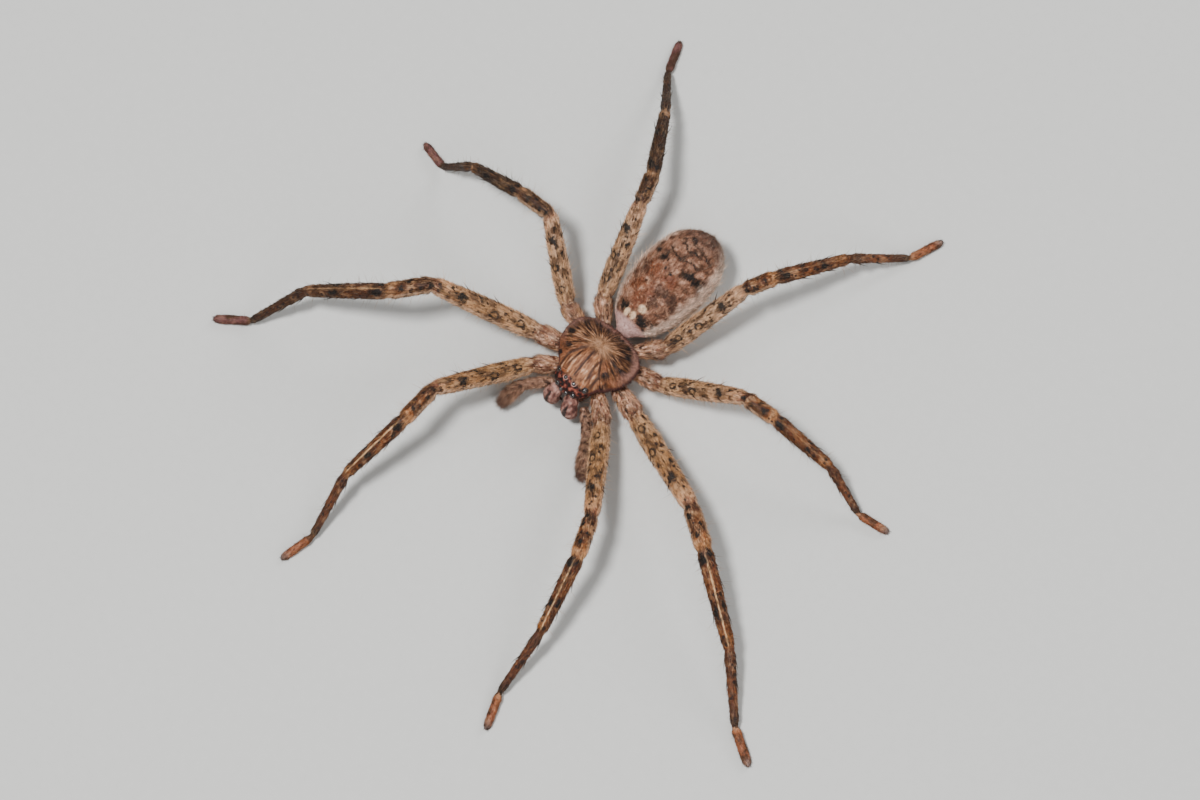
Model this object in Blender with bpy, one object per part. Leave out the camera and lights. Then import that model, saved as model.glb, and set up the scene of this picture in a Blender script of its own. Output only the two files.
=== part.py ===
"""Huntsman spider: a still, life-size model that stands with its legs spread.

The head looks towards -Y and the spider's own left is +X. The shapes are made in millimetres,
with the floor at z = 0 and the middle of the carapace over x = 0, y = 0. set_down() then turns
them to metres and moves the spider so that its box stands centred over the origin.
"""

import math
import random

import bmesh
import bpy
from mathutils import Matrix, Vector
from mathutils.bvhtree import BVHTree

MM = 0.001
GAP = 0.3  # left between pieces that meet
EYE_GAP = 0.12  # left round an eye in its socket
WELD = 0.0001
SMOOTH_ANGLE = 40  # degrees; a sharper edge stays crisp
SIDES = {"left": 1, "right": -1}

# Legs, front pair first: femur, patella, tibia, metatarsus and tarsus
LEG_LENGTHS = (
    (12.7, 4.9, 9.7, 8.6, 4.4),
    (13.8, 5.2, 11.7, 8.7, 4.7),
    (10.9, 4.3, 8.3, 6.5, 4.0),
    (11.8, 3.7, 9.7, 7.7, 4.4),
)
LEG_GIRTH = (1.0, 1.1, 0.97, 1.0)  # the second pair is the stoutest
COXA_ROOTS = ((1.0, -2.7), (1.3, -1.35), (1.3, 0.05), (1.0, 1.0))
HIPS = ((5.3, -6.2), (7.5, -3.1), (7.2, 1.4), (4.8, 4.9))
COXA_HEIGHT = 3.25
HIP_HEIGHT = 3.4
ANKLE_HEIGHT = 0.75  # where the metatarsus meets the tarsus
TOE_HEIGHT = 0.3

# The pose: each length's heading in degrees, 0 straight out to the side and 90 to the rear
HEADINGS = {
    "left": (
        (-51, -65, -77, -87, -68),
        (-18, -31, -34, -45, -29),
        (27, 4, 3, -15, 10),
        (73, 62, 64, 51, 71),
    ),
    "right": (
        (-63, -91, -79, -97, -77),
        (-23, -51, -32, -58, -36),
        (38, -4, -6, -19, 12),
        (73, 70, 55, 47, 67),
    ),
}
FEMUR_LIFT = {"left": (17, 12, 17, 20), "right": (22, 27, 26, 22)}
PATELLA_LIFT = 3
TIBIA_LIFT = {"left": (-19, -15, -19, -21), "right": (-22, -24, -21, -19)}

# Rings along each length: how far along it, and the radius there
LEG_RINGS = {
    "coxa": ((0.0, 0.7), (0.35, 0.85), (0.6, 0.98), (0.82, 1.1)),
    "femur": ((0.0, 0.92), (0.08, 1.06), (0.3, 1.2), (0.65, 1.12), (0.92, 1.0)),
    "patella": ((0.0, 0.88), (0.15, 0.96), (0.75, 0.97)),
    "tibia": ((0.0, 0.86), (0.1, 0.92), (0.5, 0.86), (0.92, 0.74)),
    "metatarsus": ((0.0, 0.62), (0.08, 0.66), (0.5, 0.57), (0.94, 0.52)),
    "tarsus": ((0.0, 0.45), (0.12, 0.5), (0.6, 0.54), (0.88, 0.52), (1.0, 0.3)),
}

# Spines of a leg: how far along, and the turn round it in degrees, 0 on top and 90 to the rear
SPINE_ROWS = {
    "femur": ((0.3, 5), (0.55, -6), (0.8, 4), (0.44, 62), (0.44, -62), (0.72, 58), (0.72, -58)),
    "tibia": ((0.3, 96), (0.3, -96), (0.66, 92), (0.66, -92), (0.46, 140), (0.46, -140)),
    "metatarsus": ((0.12, 112), (0.12, -112), (0.42, 100), (0.42, -100)),
}
SPINE_LENGTH = {"femur": 1.3, "tibia": 1.6, "metatarsus": 1.4}
SPINE_BASE = 0.25  # radius at the root, which is sunk in the leg
SPINE_ROOT = 0.5  # share of the leg's radius that the root reaches down
SPINE_LEAN = 55  # degrees towards the claws
SPINE_VARIES = {"place": 0.03, "turn": 6, "lean": 6, "length": 0.12}
CROWDED = {0: -1, 3: 1}  # the side of a femur that lies by the palps or the abdomen

# The carapace along Y: half width, top, widest level and underside
CARAPACE_Y = (-6.95, 2.7)
CARAPACE_HALF_WIDTH = (
    (-6.95, 2.35),
    (-5.6, 2.6),
    (-4.6, 2.85),
    (-3.5, 3.9),
    (-2.4, 4.75),
    (-0.8, 5.05),
    (0.8, 4.95),
    (2.7, 4.3),
)
CARAPACE_TOP = (
    (-6.95, 6.0),
    (-5.6, 6.55),
    (-4.0, 6.95),
    (-2.0, 7.3),
    (-0.6, 7.15),
    (0.8, 6.75),
    (2.7, 5.9),
)
CARAPACE_RIM = 4.95
CARAPACE_UNDERSIDE = 4.72

# The core under the carapace, which the coxae, mouthparts and abdomen meet
CORE_Y = (-4.5, 2.6)
CORE_HALF_WIDTH = ((-4.5, 1.5), (-3.3, 1.85), (-1.75, 2.6), (0.1, 2.65), (1.75, 2.05), (2.6, 1.2))
CORE_TOP = 4.4
CORE_LEVEL = 3.3
CORE_BOTTOM = 2.05
MAXILLA = ((0.95, -5.2, 2.95), (0.72, 1.05, 1.1))
LABIUM = ((0.0, -4.75, 2.25), (0.6, 0.95, 0.4))

# The abdomen along Y
ABDOMEN_Y = (3.1, 18.3)
ABDOMEN_HALF_WIDTH = ((3.1, 2.9), (5.0, 3.5), (8.0, 4.15), (11.5, 4.5), (14.5, 4.3), (18.3, 3.8))
ABDOMEN_TOP = ((3.1, 6.5), (5.0, 7.4), (8.0, 8.2), (11.5, 8.6), (15.0, 8.2), (18.3, 7.2))
ABDOMEN_LEVEL = ((3.1, 4.7), (8.0, 4.8), (18.3, 4.9))
ABDOMEN_BOTTOM = ((3.1, 3.2), (6.0, 2.0), (10.0, 1.1), (14.0, 1.1), (18.3, 2.2))
ABDOMEN_TURN = 1.5  # degrees to the spider's left, about the waist
PEDICEL = ((0, 2.95, 3.75), (0, 3.6, 3.9), (0, 5.0, 4.4))
PEDICEL_RADIUS = 0.6
SPINNERET_BASE = ((0, 17.4, 3.2), (1.0, 0.75, 0.85))
SPINNERETS = ((0.55, 17.4, 2.9), (0.45, 17.6, 3.6))  # lower and upper pair, left side

# Mouthparts, left side
CHELICERA = (
    (1.42, -7.5, 1.35),
    (1.42, -7.6, 1.7),
    (1.4, -7.65, 2.6),
    (1.36, -7.6, 3.5),
    (1.34, -7.4, 4.2),
    (1.33, -7.25, 4.6),
)
CHELICERA_RADII = (0.45, 0.8, 1.0, 1.08, 0.9, 0.5)
FANG = ((1.45, -7.4, 1.75), (1.5, -7.1, 1.2), (1.1, -6.95, 0.95), (0.65, -6.95, 1.0))
FANG_RADII = (0.38, 0.34, 0.26, 0.1)
PALPS = {
    "left": (
        (2.3, -6.15, 2.7),
        (3.7, -7.3, 2.5),
        (4.6, -8.2, 2.3),
        (5.6, -9.6, 2.1),
        (6.5, -10.9, 1.8),
        (7.3, -12.1, 1.3),
    ),
    "right": (
        (2.3, -6.15, 2.7),
        (3.3, -7.1, 2.75),
        (4.2, -8.0, 2.75),
        (5.1, -9.2, 2.6),
        (5.4, -10.4, 2.1),
        (5.65, -11.7, 1.4),
    ),
}
PALP_RADII = (0.55, 0.6, 0.6, 0.66, 0.76, 0.42)
PALP_CUT = 2  # the point of the path where the two lengths of a palp part

# Eyes of the left side: a point near each on the head, and its radius
EYES = {
    "front_middle": ((0.42, -6.8, 5.45), 0.27),
    "front_outer": ((1.25, -6.5, 5.55), 0.36),
    "rear_middle": ((0.63, -5.5, 6.4), 0.28),
    "rear_outer": ((2.05, -5.2, 6.0), 0.36),
}
EYE_DEPTH = 0.3  # share of its radius that an eye's middle lies below the surface

FINISHES = {
    "carapace": ("#75563D", 0.6),
    "core": ("#8F6F55", 0.65),
    "abdomen": ("#8F6D5A", 0.75),
    "spinneret": ("#6E4C38", 0.7),
    "chelicera": ("#8C6A5B", 0.55),
    "palp": ("#7A5A48", 0.7),
    "eye": ("#1A100C", 0.1),
    "coxa": ("#A08468", 0.65),
    "femur": ("#A07F55", 0.65),
    "tibia": ("#7B5A3B", 0.65),
    "metatarsus": ("#6B4732", 0.65),
    "tarsus": ("#8E5132", 0.7),
}


def remove_objects(objects):
    """Takes objects out of the file."""
    for thing in list(objects):
        bpy.data.objects.remove(thing, do_unlink=True)


def linear(channel):
    """One sRGB channel, 0 to 1, as linear light."""
    return channel / 12.92 if channel <= 0.04045 else ((channel + 0.055) / 1.055) ** 2.4


def finish(kind):
    """The material of one kind of part."""
    found = bpy.data.materials.get(kind)
    if found:
        return found
    code, roughness = FINISHES[kind]
    made = bpy.data.materials.new(kind)
    made.use_nodes = True
    shader = made.node_tree.nodes["Principled BSDF"]
    channels = [linear(int(code[i : i + 2], 16) / 255) for i in (1, 3, 5)]
    shader.inputs["Base Color"].default_value = (*channels, 1)
    shader.inputs["Roughness"].default_value = roughness
    shader.inputs["Metallic"].default_value = 0
    return made


def add_object(name, mesh, kind=None):
    """Puts a mesh in the spider's collection."""
    made = bpy.data.objects.new(name, mesh)
    bpy.data.collections["huntsman_spider"].objects.link(made)
    if kind:
        mesh.materials.clear()
        mesh.materials.append(finish(kind))
    return made


def mesh_from(form, name):
    """Turns a bmesh into a mesh and frees it."""
    mesh = bpy.data.meshes.new(name)
    form.to_mesh(mesh)
    form.free()
    return mesh


def between(stations, at):
    """The smooth value at a place along stations of (place, value); one number is the same everywhere."""
    if isinstance(stations, (int, float)):
        return stations
    for (a, low), (b, high) in zip(stations, stations[1:]):
        if at <= b:
            share = max(0.0, (at - a) / (b - a))
            return low + (high - low) * (share + share * share * (3 - 2 * share)) / 2
    return stations[-1][1]


def formed(name, reach, half_width, top, level, bottom, blunt, around, along, kind=None):
    """A ball drawn out along Y to the sections at its stations; a higher blunt gives fuller ends."""
    form = bmesh.new()
    bmesh.ops.create_uvsphere(form, u_segments=around, v_segments=along, radius=1)
    bmesh.ops.rotate(form, verts=form.verts, matrix=Matrix.Rotation(math.radians(90), 3, "X"))
    for vert in form.verts:
        x, share, z = vert.co
        y = reach[0] + (reach[1] - reach[0]) * (share + 1) / 2
        round_size = math.hypot(x, z)
        full = max(0.0, 1 - abs(share) ** blunt) ** 0.5 if round_size > WELD else 0.0
        across, up = (x / round_size, z / round_size) if full else (0.0, 0.0)
        middle = between(level, y)
        rise = between(top if up > 0 else bottom, y) - middle
        vert.co = (between(half_width, y) * full * across, y, middle + rise * full * abs(up))
    bmesh.ops.recalc_face_normals(form, faces=form.faces)
    return add_object(name, mesh_from(form, name), kind)


def ball(name, centre, radii, detail=2):
    """An egg shape with its own radius along each axis."""
    form = bmesh.new()
    bmesh.ops.create_icosphere(form, subdivisions=detail, radius=1)
    bmesh.ops.scale(form, verts=form.verts, vec=radii)
    bmesh.ops.translate(form, verts=form.verts, vec=centre)
    return add_object(name, mesh_from(form, name))


def tube(name, points, radii, resolution=3, kind=None):
    """A closed tube along points, each with its own radius."""
    line = bpy.data.curves.new(name, "CURVE")
    line.dimensions = "3D"
    line.bevel_depth = 1
    line.bevel_resolution = resolution
    line.use_fill_caps = True
    spline = line.splines.new("POLY")
    spline.points.add(len(points) - 1)
    for place, point, radius in zip(spline.points, points, radii):
        place.co = (*point, 1)
        place.radius = radius
    drawn = bpy.data.objects.new(name, line)
    bpy.context.scene.collection.objects.link(drawn)
    graph = bpy.context.evaluated_depsgraph_get()
    mesh = bpy.data.meshes.new_from_object(drawn.evaluated_get(graph))
    remove_objects([drawn])
    bpy.data.curves.remove(line)
    form = bmesh.new()
    form.from_mesh(mesh)
    bmesh.ops.remove_doubles(form, verts=form.verts, dist=WELD)
    bmesh.ops.recalc_face_normals(form, faces=form.faces)
    form.to_mesh(mesh)
    form.free()
    mesh.name = name
    return add_object(name, mesh, kind)


def keep_largest(mesh):
    """Drops every closed surface of a mesh but the one that reaches furthest."""
    form = bmesh.new()
    form.from_mesh(mesh)
    left = set(form.verts)
    pieces = []
    while left:
        reached = [left.pop()]
        for vert in reached:
            for edge in vert.link_edges:
                other = edge.other_vert(vert)
                if other in left:
                    left.remove(other)
                    reached.append(other)
        pieces.append(reached)
    keep = set(max(pieces, key=reach_of))
    bmesh.ops.delete(form, geom=[vert for vert in form.verts if vert not in keep], context="VERTS")
    form.to_mesh(mesh)
    form.free()


def reach_of(verts):
    """How far points spread, over all three axes."""
    return sum(max(vert.co[i] for vert in verts) - min(vert.co[i] for vert in verts) for i in range(3))


def boolean(thing, others, operation, solver="EXACT"):
    """Joins or cuts a part with closed objects in one Boolean, then removes them."""
    group = bpy.data.collections.new("cutters and joints")
    bpy.context.scene.collection.children.link(group)
    for other in others:
        bpy.data.collections["huntsman_spider"].objects.unlink(other)
        group.objects.link(other)
        other.hide_render = True
        other.display_type = "WIRE"
    step = thing.modifiers.new("boolean", "BOOLEAN")
    step.operation = operation
    step.operand_type = "COLLECTION"
    step.collection = group
    step.solver = solver
    graph = bpy.context.evaluated_depsgraph_get()
    mesh = bpy.data.meshes.new_from_object(thing.evaluated_get(graph))
    thing.modifiers.remove(step)
    keep_largest(mesh)
    thing.data = mesh
    remove_objects(others)
    bpy.data.collections.remove(group)


def swollen(thing, by):
    """A copy of a part that stands out from it by a distance."""
    form = bmesh.new()
    form.from_mesh(thing.data)
    form.normal_update()
    moves = [(vert, vert.normal * by) for vert in form.verts]
    for vert, move in moves:
        vert.co += move
    return add_object("swollen " + thing.name, mesh_from(form, "swollen"))


def clear_of(thing, *neighbours, by=GAP):
    """Cuts a part back from its neighbours by the gap."""
    # A swollen shape crosses itself in its creases, which the EXACT solver doesn't cut with
    for neighbour in neighbours:
        boolean(thing, [swollen(neighbour, by)], "DIFFERENCE", "MANIFOLD")


def slice_of(whole, name, kind, start=None, end=None, floor=False):
    """The length of a tube between two planes, each a point and a direction, with half a gap off each end."""
    form = bmesh.new()
    form.from_mesh(whole.data)
    planes = []
    if start:
        planes.append((start[0] + start[1] * GAP / 2, start[1]))
    if end:
        planes.append((end[0] - end[1] * GAP / 2, -end[1]))
    if floor:
        planes.append((Vector((0, 0, 0)), Vector((0, 0, 1))))
    for point, direction in planes:
        everything = form.verts[:] + form.edges[:] + form.faces[:]
        cut = {"plane_co": point, "plane_no": direction, "clear_inner": True}
        bmesh.ops.bisect_plane(form, geom=everything, dist=WELD, **cut)
        rim = [edge for edge in form.edges if edge.is_boundary]
        bmesh.ops.holes_fill(form, edges=rim, sides=0)
    bmesh.ops.recalc_face_normals(form, faces=form.faces)
    mesh = mesh_from(form, name)
    keep_largest(mesh)
    return add_object(name, mesh, kind)


def leg_joints(side, pair):
    """The joints of a leg, from the coxa's root to the claws."""
    sign = SIDES[side]
    (root_x, root_y), (hip_x, hip_y) = COXA_ROOTS[pair], HIPS[pair]
    joints = [Vector((sign * root_x, root_y, COXA_HEIGHT)), Vector((sign * hip_x, hip_y, HIP_HEIGHT))]
    lifts = (FEMUR_LIFT[side][pair], PATELLA_LIFT, TIBIA_LIFT[side][pair], None, None)
    ends = (None, None, None, ANKLE_HEIGHT, TOE_HEIGHT)
    for length, heading, lift, end in zip(LEG_LENGTHS[pair], HEADINGS[side][pair], lifts, ends):
        rise = length * math.sin(math.radians(lift)) if end is None else end - joints[-1].z
        run = math.sqrt(length * length - rise * rise)
        turn = math.radians(heading)
        joints.append(joints[-1] + Vector((sign * run * math.cos(turn), run * math.sin(turn), rise)))
    return joints


def spine(root, out, along, sunk, length, draw):
    """One tapered spine that leaves the leg's surface and leans towards the claws."""
    lean = math.radians(SPINE_LEAN + draw.uniform(-1, 1) * SPINE_VARIES["lean"])
    direction = (out * math.cos(lean) + along * math.sin(lean)).normalized()
    length *= 1 + draw.uniform(-1, 1) * SPINE_VARIES["length"]
    length += sunk / math.cos(lean)
    form = bmesh.new()
    bmesh.ops.create_cone(form, segments=4, cap_ends=True, radius1=SPINE_BASE, radius2=0, depth=length)
    bmesh.ops.remove_doubles(form, verts=form.verts, dist=WELD)
    bmesh.ops.translate(form, verts=form.verts, vec=(0, 0, length / 2))
    bmesh.ops.rotate(form, verts=form.verts, matrix=direction.to_track_quat("Z", "Y").to_matrix())
    bmesh.ops.translate(form, verts=form.verts, vec=root)
    return add_object("spine", mesh_from(form, "spine"))


def spines_of(length, near, far, side, pair):
    """The spines of one length of a leg, a little different on each leg."""
    draw = random.Random(f"{length} {side} {pair}")
    along = (far - near).normalized()
    rear = Vector((0, 0, 1)).cross(along).normalized() * SIDES[side]
    top = along.cross(rear).normalized() * SIDES[side]
    spines = []
    for share, turn in SPINE_ROWS[length]:
        towards_body = turn * CROWDED.get(pair, 0) > 30
        if length == "femur" and share < 0.6 and towards_body:
            continue
        share += draw.uniform(-1, 1) * SPINE_VARIES["place"]
        angle = math.radians(turn + draw.uniform(-1, 1) * SPINE_VARIES["turn"])
        out = top * math.cos(angle) + rear * math.sin(angle)
        radius = between(LEG_RINGS[length], share) * LEG_GIRTH[pair]
        root = near.lerp(far, share) + out * radius * (1 - SPINE_ROOT)
        spines.append(spine(root, out, along, radius * SPINE_ROOT, SPINE_LENGTH[length], draw))
    return spines


def build_leg(side, pair):
    """One leg, modelled whole as a tube and then parted by thin cuts at its joints."""
    joints = leg_joints(side, pair)
    names = tuple(LEG_RINGS)
    points, radii = [], []
    for name, near, far in zip(names, joints, joints[1:]):
        for share, radius in LEG_RINGS[name]:
            points.append(near.lerp(far, share))
            radii.append(radius * LEG_GIRTH[pair])
    whole = tube("whole leg", points, radii)
    ways = [(far - near).normalized() for near, far in zip(joints, joints[1:])]
    cuts = {k: (joints[k], (ways[k - 1] + ways[k]).normalized()) for k in (1, 2, 4, 5)}
    prefix = f"leg{pair + 1}_{side}_"
    parts = [
        slice_of(whole, prefix + "coxa", "coxa", end=cuts[1]),
        slice_of(whole, prefix + "femur", "femur", cuts[1], cuts[2]),
        slice_of(whole, prefix + "tibia", "tibia", cuts[2], cuts[4]),
        slice_of(whole, prefix + "metatarsus", "metatarsus", cuts[4], cuts[5]),
        slice_of(whole, prefix + "tarsus", "tarsus", cuts[5], floor=True),
    ]
    remove_objects([whole])
    for part, length in zip(parts[1:4], ("femur", "tibia", "metatarsus")):
        k = names.index(length)
        spines = spines_of(length, joints[k], joints[k + 1], side, pair)
        boolean(part, spines, "UNION")
    return parts


def build_eyes(carapace):
    """Eight eyes, each a ball in a socket of the head."""
    form = bmesh.new()
    form.from_mesh(carapace.data)
    surface = BVHTree.FromBMesh(form)
    form.free()
    eyes, sockets = [], []
    for place, (near, radius) in EYES.items():
        for side, sign in SIDES.items():
            spot, out, _, _ = surface.find_nearest(Vector((sign * near[0], near[1], near[2])))
            centre = spot - out * radius * EYE_DEPTH
            eye = ball(f"eye_{place}_{side}", centre, (radius,) * 3)
            eye.data.materials.append(finish("eye"))
            eyes.append(eye)
            sockets.append(ball("socket", centre, (radius + EYE_GAP,) * 3))
    boolean(carapace, sockets, "DIFFERENCE")
    return eyes


def build_core():
    """The sternum and the flesh over it, with the labium and the two maxillae in front."""
    sections = (CORE_HALF_WIDTH, CORE_TOP, CORE_LEVEL, CORE_BOTTOM)
    core = formed("core", CORE_Y, *sections, 8, 24, 10, "core")
    (x, y, z), radii = MAXILLA
    lobes = [ball("maxilla", (sign * x, y, z), radii) for sign in SIDES.values()]
    boolean(core, lobes + [ball("labium", *LABIUM)], "UNION")
    return core


def build_abdomen():
    """The abdomen and the pedicel that carries it."""
    sections = (ABDOMEN_HALF_WIDTH, ABDOMEN_TOP, ABDOMEN_LEVEL, ABDOMEN_BOTTOM)
    abdomen = formed("abdomen", ABDOMEN_Y, *sections, 4, 28, 18, "abdomen")
    boolean(abdomen, [tube("pedicel", PEDICEL, [PEDICEL_RADIUS] * len(PEDICEL))], "UNION")
    return abdomen


def build_spinnerets(abdomen):
    """Two pairs of short spinnerets on one base at the rear of the abdomen."""
    base = ball("spinnerets", *SPINNERET_BASE)
    base.data.materials.append(finish("spinneret"))
    cones = []
    for x, y, z in SPINNERETS:
        for sign in SIDES.values():
            path = ((sign * x * 0.8, y, z), (sign * x, y + 0.6, z - 0.1), (sign * x * 1.1, y + 1.0, z - 0.2))
            cones.append(tube("spinneret", path, (0.36, 0.34, 0.2), 2))
    boolean(base, cones, "UNION")
    clear_of(abdomen, base)
    return base


def build_mouthparts(carapace, core):
    """Two chelicerae with folded fangs, and two palps of two lengths each."""
    parts = []
    for side, sign in SIDES.items():
        mirrored = [(sign * x, y, z) for x, y, z in CHELICERA]
        chelicera = tube(f"chelicera_{side}", mirrored, CHELICERA_RADII, 4, "chelicera")
        fang = tube("fang", [(sign * x, y, z) for x, y, z in FANG], FANG_RADII, 2)
        boolean(chelicera, [fang], "UNION")
        clear_of(chelicera, carapace, core)
        parts.append(chelicera)
        path = [Vector((sign * x, y, z)) for x, y, z in PALPS[side]]
        whole = tube("whole palp", path, PALP_RADII)
        before, after = path[PALP_CUT] - path[PALP_CUT - 1], path[PALP_CUT + 1] - path[PALP_CUT]
        cut = (path[PALP_CUT], (before.normalized() + after.normalized()).normalized())
        parts.append(slice_of(whole, f"palp_base_{side}", "palp", end=cut))
        parts.append(slice_of(whole, f"palp_tip_{side}", "palp", start=cut))
        remove_objects([whole])
    return parts


def set_down(parts):
    """Turns the parts to metres and hangs them on one empty that centres the spider on the floor."""
    corners = [vert.co for part in parts for vert in part.data.vertices]
    middle = [(min(c[i] for c in corners) + max(c[i] for c in corners)) / 2 for i in (0, 1)]
    stand = bpy.data.objects.new("spider", None)
    bpy.data.collections["huntsman_spider"].objects.link(stand)
    stand.location = (-middle[0] * MM, -middle[1] * MM, 0)
    for part in parts:
        centre = sum((vert.co for vert in part.data.vertices), Vector()) / len(part.data.vertices)
        part.data.transform(Matrix.Scale(MM, 4) @ Matrix.Translation(-centre))
        part.location = centre * MM
        part.parent = stand
        part.data.shade_smooth()
        part.data.set_sharp_from_angle(angle=math.radians(SMOOTH_ANGLE))


def main():
    remove_objects(bpy.data.objects)
    bpy.context.scene.collection.children.link(bpy.data.collections.new("huntsman_spider"))
    core = build_core()
    sections = (CARAPACE_HALF_WIDTH, CARAPACE_TOP, CARAPACE_RIM, CARAPACE_UNDERSIDE)
    carapace = formed("carapace", CARAPACE_Y, *sections, 6, 32, 16, "carapace")
    abdomen = build_abdomen()
    spinnerets = build_spinnerets(abdomen)
    waist = Vector((0, ABDOMEN_Y[0], 0))
    turn = Matrix.Rotation(math.radians(-ABDOMEN_TURN), 4, "Z")
    for part in (abdomen, spinnerets):
        part.data.transform(Matrix.Translation(waist) @ turn @ Matrix.Translation(-waist))
    parts = [core, carapace, abdomen, spinnerets]
    parts += build_mouthparts(carapace, core)
    parts += build_eyes(carapace)
    for side in SIDES:
        for pair in range(len(HIPS)):
            leg = build_leg(side, pair)
            clear_of(leg[0], core)
            parts += leg
    set_down(parts)


main()
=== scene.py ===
"""Huntsman spider: the looks of a still, life-size model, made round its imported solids.

Shapes are made in the spider's own millimetres: the head looks towards -Y, the spider's left is +X,
the floor is z = 0 and the fovea of the carapace lies over x = 0, y = 0. add_piece() turns them to the
metres of the frame. Each skin has a map, Marks: u runs along the part, v round it with 0.5 on top.
The hairs keep the Marks of their roots, so skin and coat carry the same colours.
"""

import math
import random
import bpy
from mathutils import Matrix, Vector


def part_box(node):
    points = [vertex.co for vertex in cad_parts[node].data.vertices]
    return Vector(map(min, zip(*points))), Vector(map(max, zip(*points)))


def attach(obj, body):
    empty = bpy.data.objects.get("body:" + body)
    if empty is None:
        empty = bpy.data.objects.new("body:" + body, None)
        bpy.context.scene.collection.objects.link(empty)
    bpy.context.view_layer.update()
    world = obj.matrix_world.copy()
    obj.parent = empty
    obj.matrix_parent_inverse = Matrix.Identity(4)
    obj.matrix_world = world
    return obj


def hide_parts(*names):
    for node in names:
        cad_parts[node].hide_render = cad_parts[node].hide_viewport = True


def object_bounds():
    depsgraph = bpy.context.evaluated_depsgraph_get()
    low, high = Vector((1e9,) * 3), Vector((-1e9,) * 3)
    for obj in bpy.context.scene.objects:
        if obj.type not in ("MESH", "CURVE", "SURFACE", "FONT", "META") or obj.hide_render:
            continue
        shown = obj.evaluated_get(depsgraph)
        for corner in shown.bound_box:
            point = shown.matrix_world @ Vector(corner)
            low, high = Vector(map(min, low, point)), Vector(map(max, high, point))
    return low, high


bl_info = {
    "name": "Huntsman Spider Model",
    "version": (1, 0, 0),
    "blender": (4, 5, 0),
    "location": "3D View > Sidebar > Spider",
    "description": "Skins, coats of hair, eyes, spines and claws of a life-size huntsman spider",
    "category": "Object",
}

import bmesh
import bpy
import numpy as np
from bpy.props import FloatProperty, FloatVectorProperty, PointerProperty
from mathutils import Matrix, Vector, noise

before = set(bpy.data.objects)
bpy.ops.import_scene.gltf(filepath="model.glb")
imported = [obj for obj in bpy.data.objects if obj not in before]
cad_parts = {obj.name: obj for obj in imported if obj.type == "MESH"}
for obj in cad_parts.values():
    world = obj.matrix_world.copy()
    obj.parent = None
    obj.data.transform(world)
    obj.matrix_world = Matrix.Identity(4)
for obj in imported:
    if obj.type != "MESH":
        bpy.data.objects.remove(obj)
CAD_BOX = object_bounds()

MM = 0.001
WELD = 0.0005
SIDES = {"left": 1, "right": -1}
IMAGE_WIDTH = 1200  # pixels of the photograph

# Where the solids stand: the carapace's middle line and front edge in the frame
CARAPACE_Y = (-6.95, 2.7)
SHELL_LOW, SHELL_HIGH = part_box("carapace")
STAND = Vector(((SHELL_LOW.x + SHELL_HIGH.x) / 2, SHELL_LOW.y - CARAPACE_Y[0] * MM, 0))
TO_FRAME = Matrix.Translation(STAND) @ Matrix.Scale(MM, 4)

STATIONS = 6  # lengths of a leg, which its map's u counts from the coxa's root
TARSUS = 5.03  # station where the tarsus starts
# Legs, front pair first: femur, patella, tibia, metatarsus and tarsus
LEG_LENGTHS = (
    (12.7, 4.9, 9.7, 8.6, 4.4), (13.8, 5.2, 11.7, 8.7, 4.7), (10.9, 4.3, 8.3, 6.5, 4.0),
    (11.8, 3.7, 9.7, 7.7, 4.4),
)
LEG_GIRTH = (1.0, 1.1, 0.97, 1.0)
COATED_LENGTH = 42  # length of a leg that has as many tufts as its coat names
COXA_ROOTS = ((1.0, -2.7), (1.3, -1.35), (1.3, 0.05), (1.0, 1.0))
HIPS = ((5.3, -6.2), (7.5, -3.1), (7.2, 1.4), (4.8, 4.9))
COXA_HEIGHT = 3.25
HIP_HEIGHT = 3.4
ANKLE_HEIGHT = 0.75
TOE_HEIGHT = 0.3
HEADINGS = {
    "left": (
        (-51, -65, -77, -87, -68),
        (-18, -31, -34, -45, -29),
        (27, 4, 3, -15, 10),
        (73, 62, 64, 51, 71),
    ),
    "right": (
        (-63, -91, -79, -97, -77),
        (-23, -51, -32, -58, -36),
        (38, -4, -6, -19, 12),
        (73, 70, 55, 47, 67),
    ),
}
FEMUR_LIFT = {"left": (17, 12, 17, 20), "right": (22, 27, 26, 22)}
PATELLA_LIFT = 3
TIBIA_LIFT = {"left": (-19, -15, -19, -21), "right": (-22, -24, -21, -19)}
LEG_PARTS = ("coxa", "femur", "tibia", "metatarsus", "tarsus")
LEG_RINGS = {
    "coxa": ((0.0, 0.7), (0.35, 0.85), (0.6, 0.98), (0.82, 1.1)),
    "femur": ((0.0, 0.92), (0.08, 1.06), (0.3, 1.2), (0.65, 1.12), (0.92, 1.0)),
    "patella": ((0.0, 0.88), (0.15, 0.96), (0.75, 0.97)),
    "tibia": ((0.0, 0.86), (0.1, 0.92), (0.5, 0.86), (0.92, 0.74)),
    "metatarsus": ((0.0, 0.62), (0.08, 0.66), (0.5, 0.57), (0.94, 0.52)),
    "tarsus": ((0.0, 0.45), (0.12, 0.5), (0.6, 0.54), (0.88, 0.52), (1.0, 0.3)),
}
LENGTH_RINGS = 18  # rings on each length of a leg
LEG_AROUND = 28
JOINT_PINCH = (0.13, 0.3)  # depth and half width of the fold at a joint
JOINT_LIP = (0.05, 0.65, 0.28)  # height, distance from the joint and half width

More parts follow.
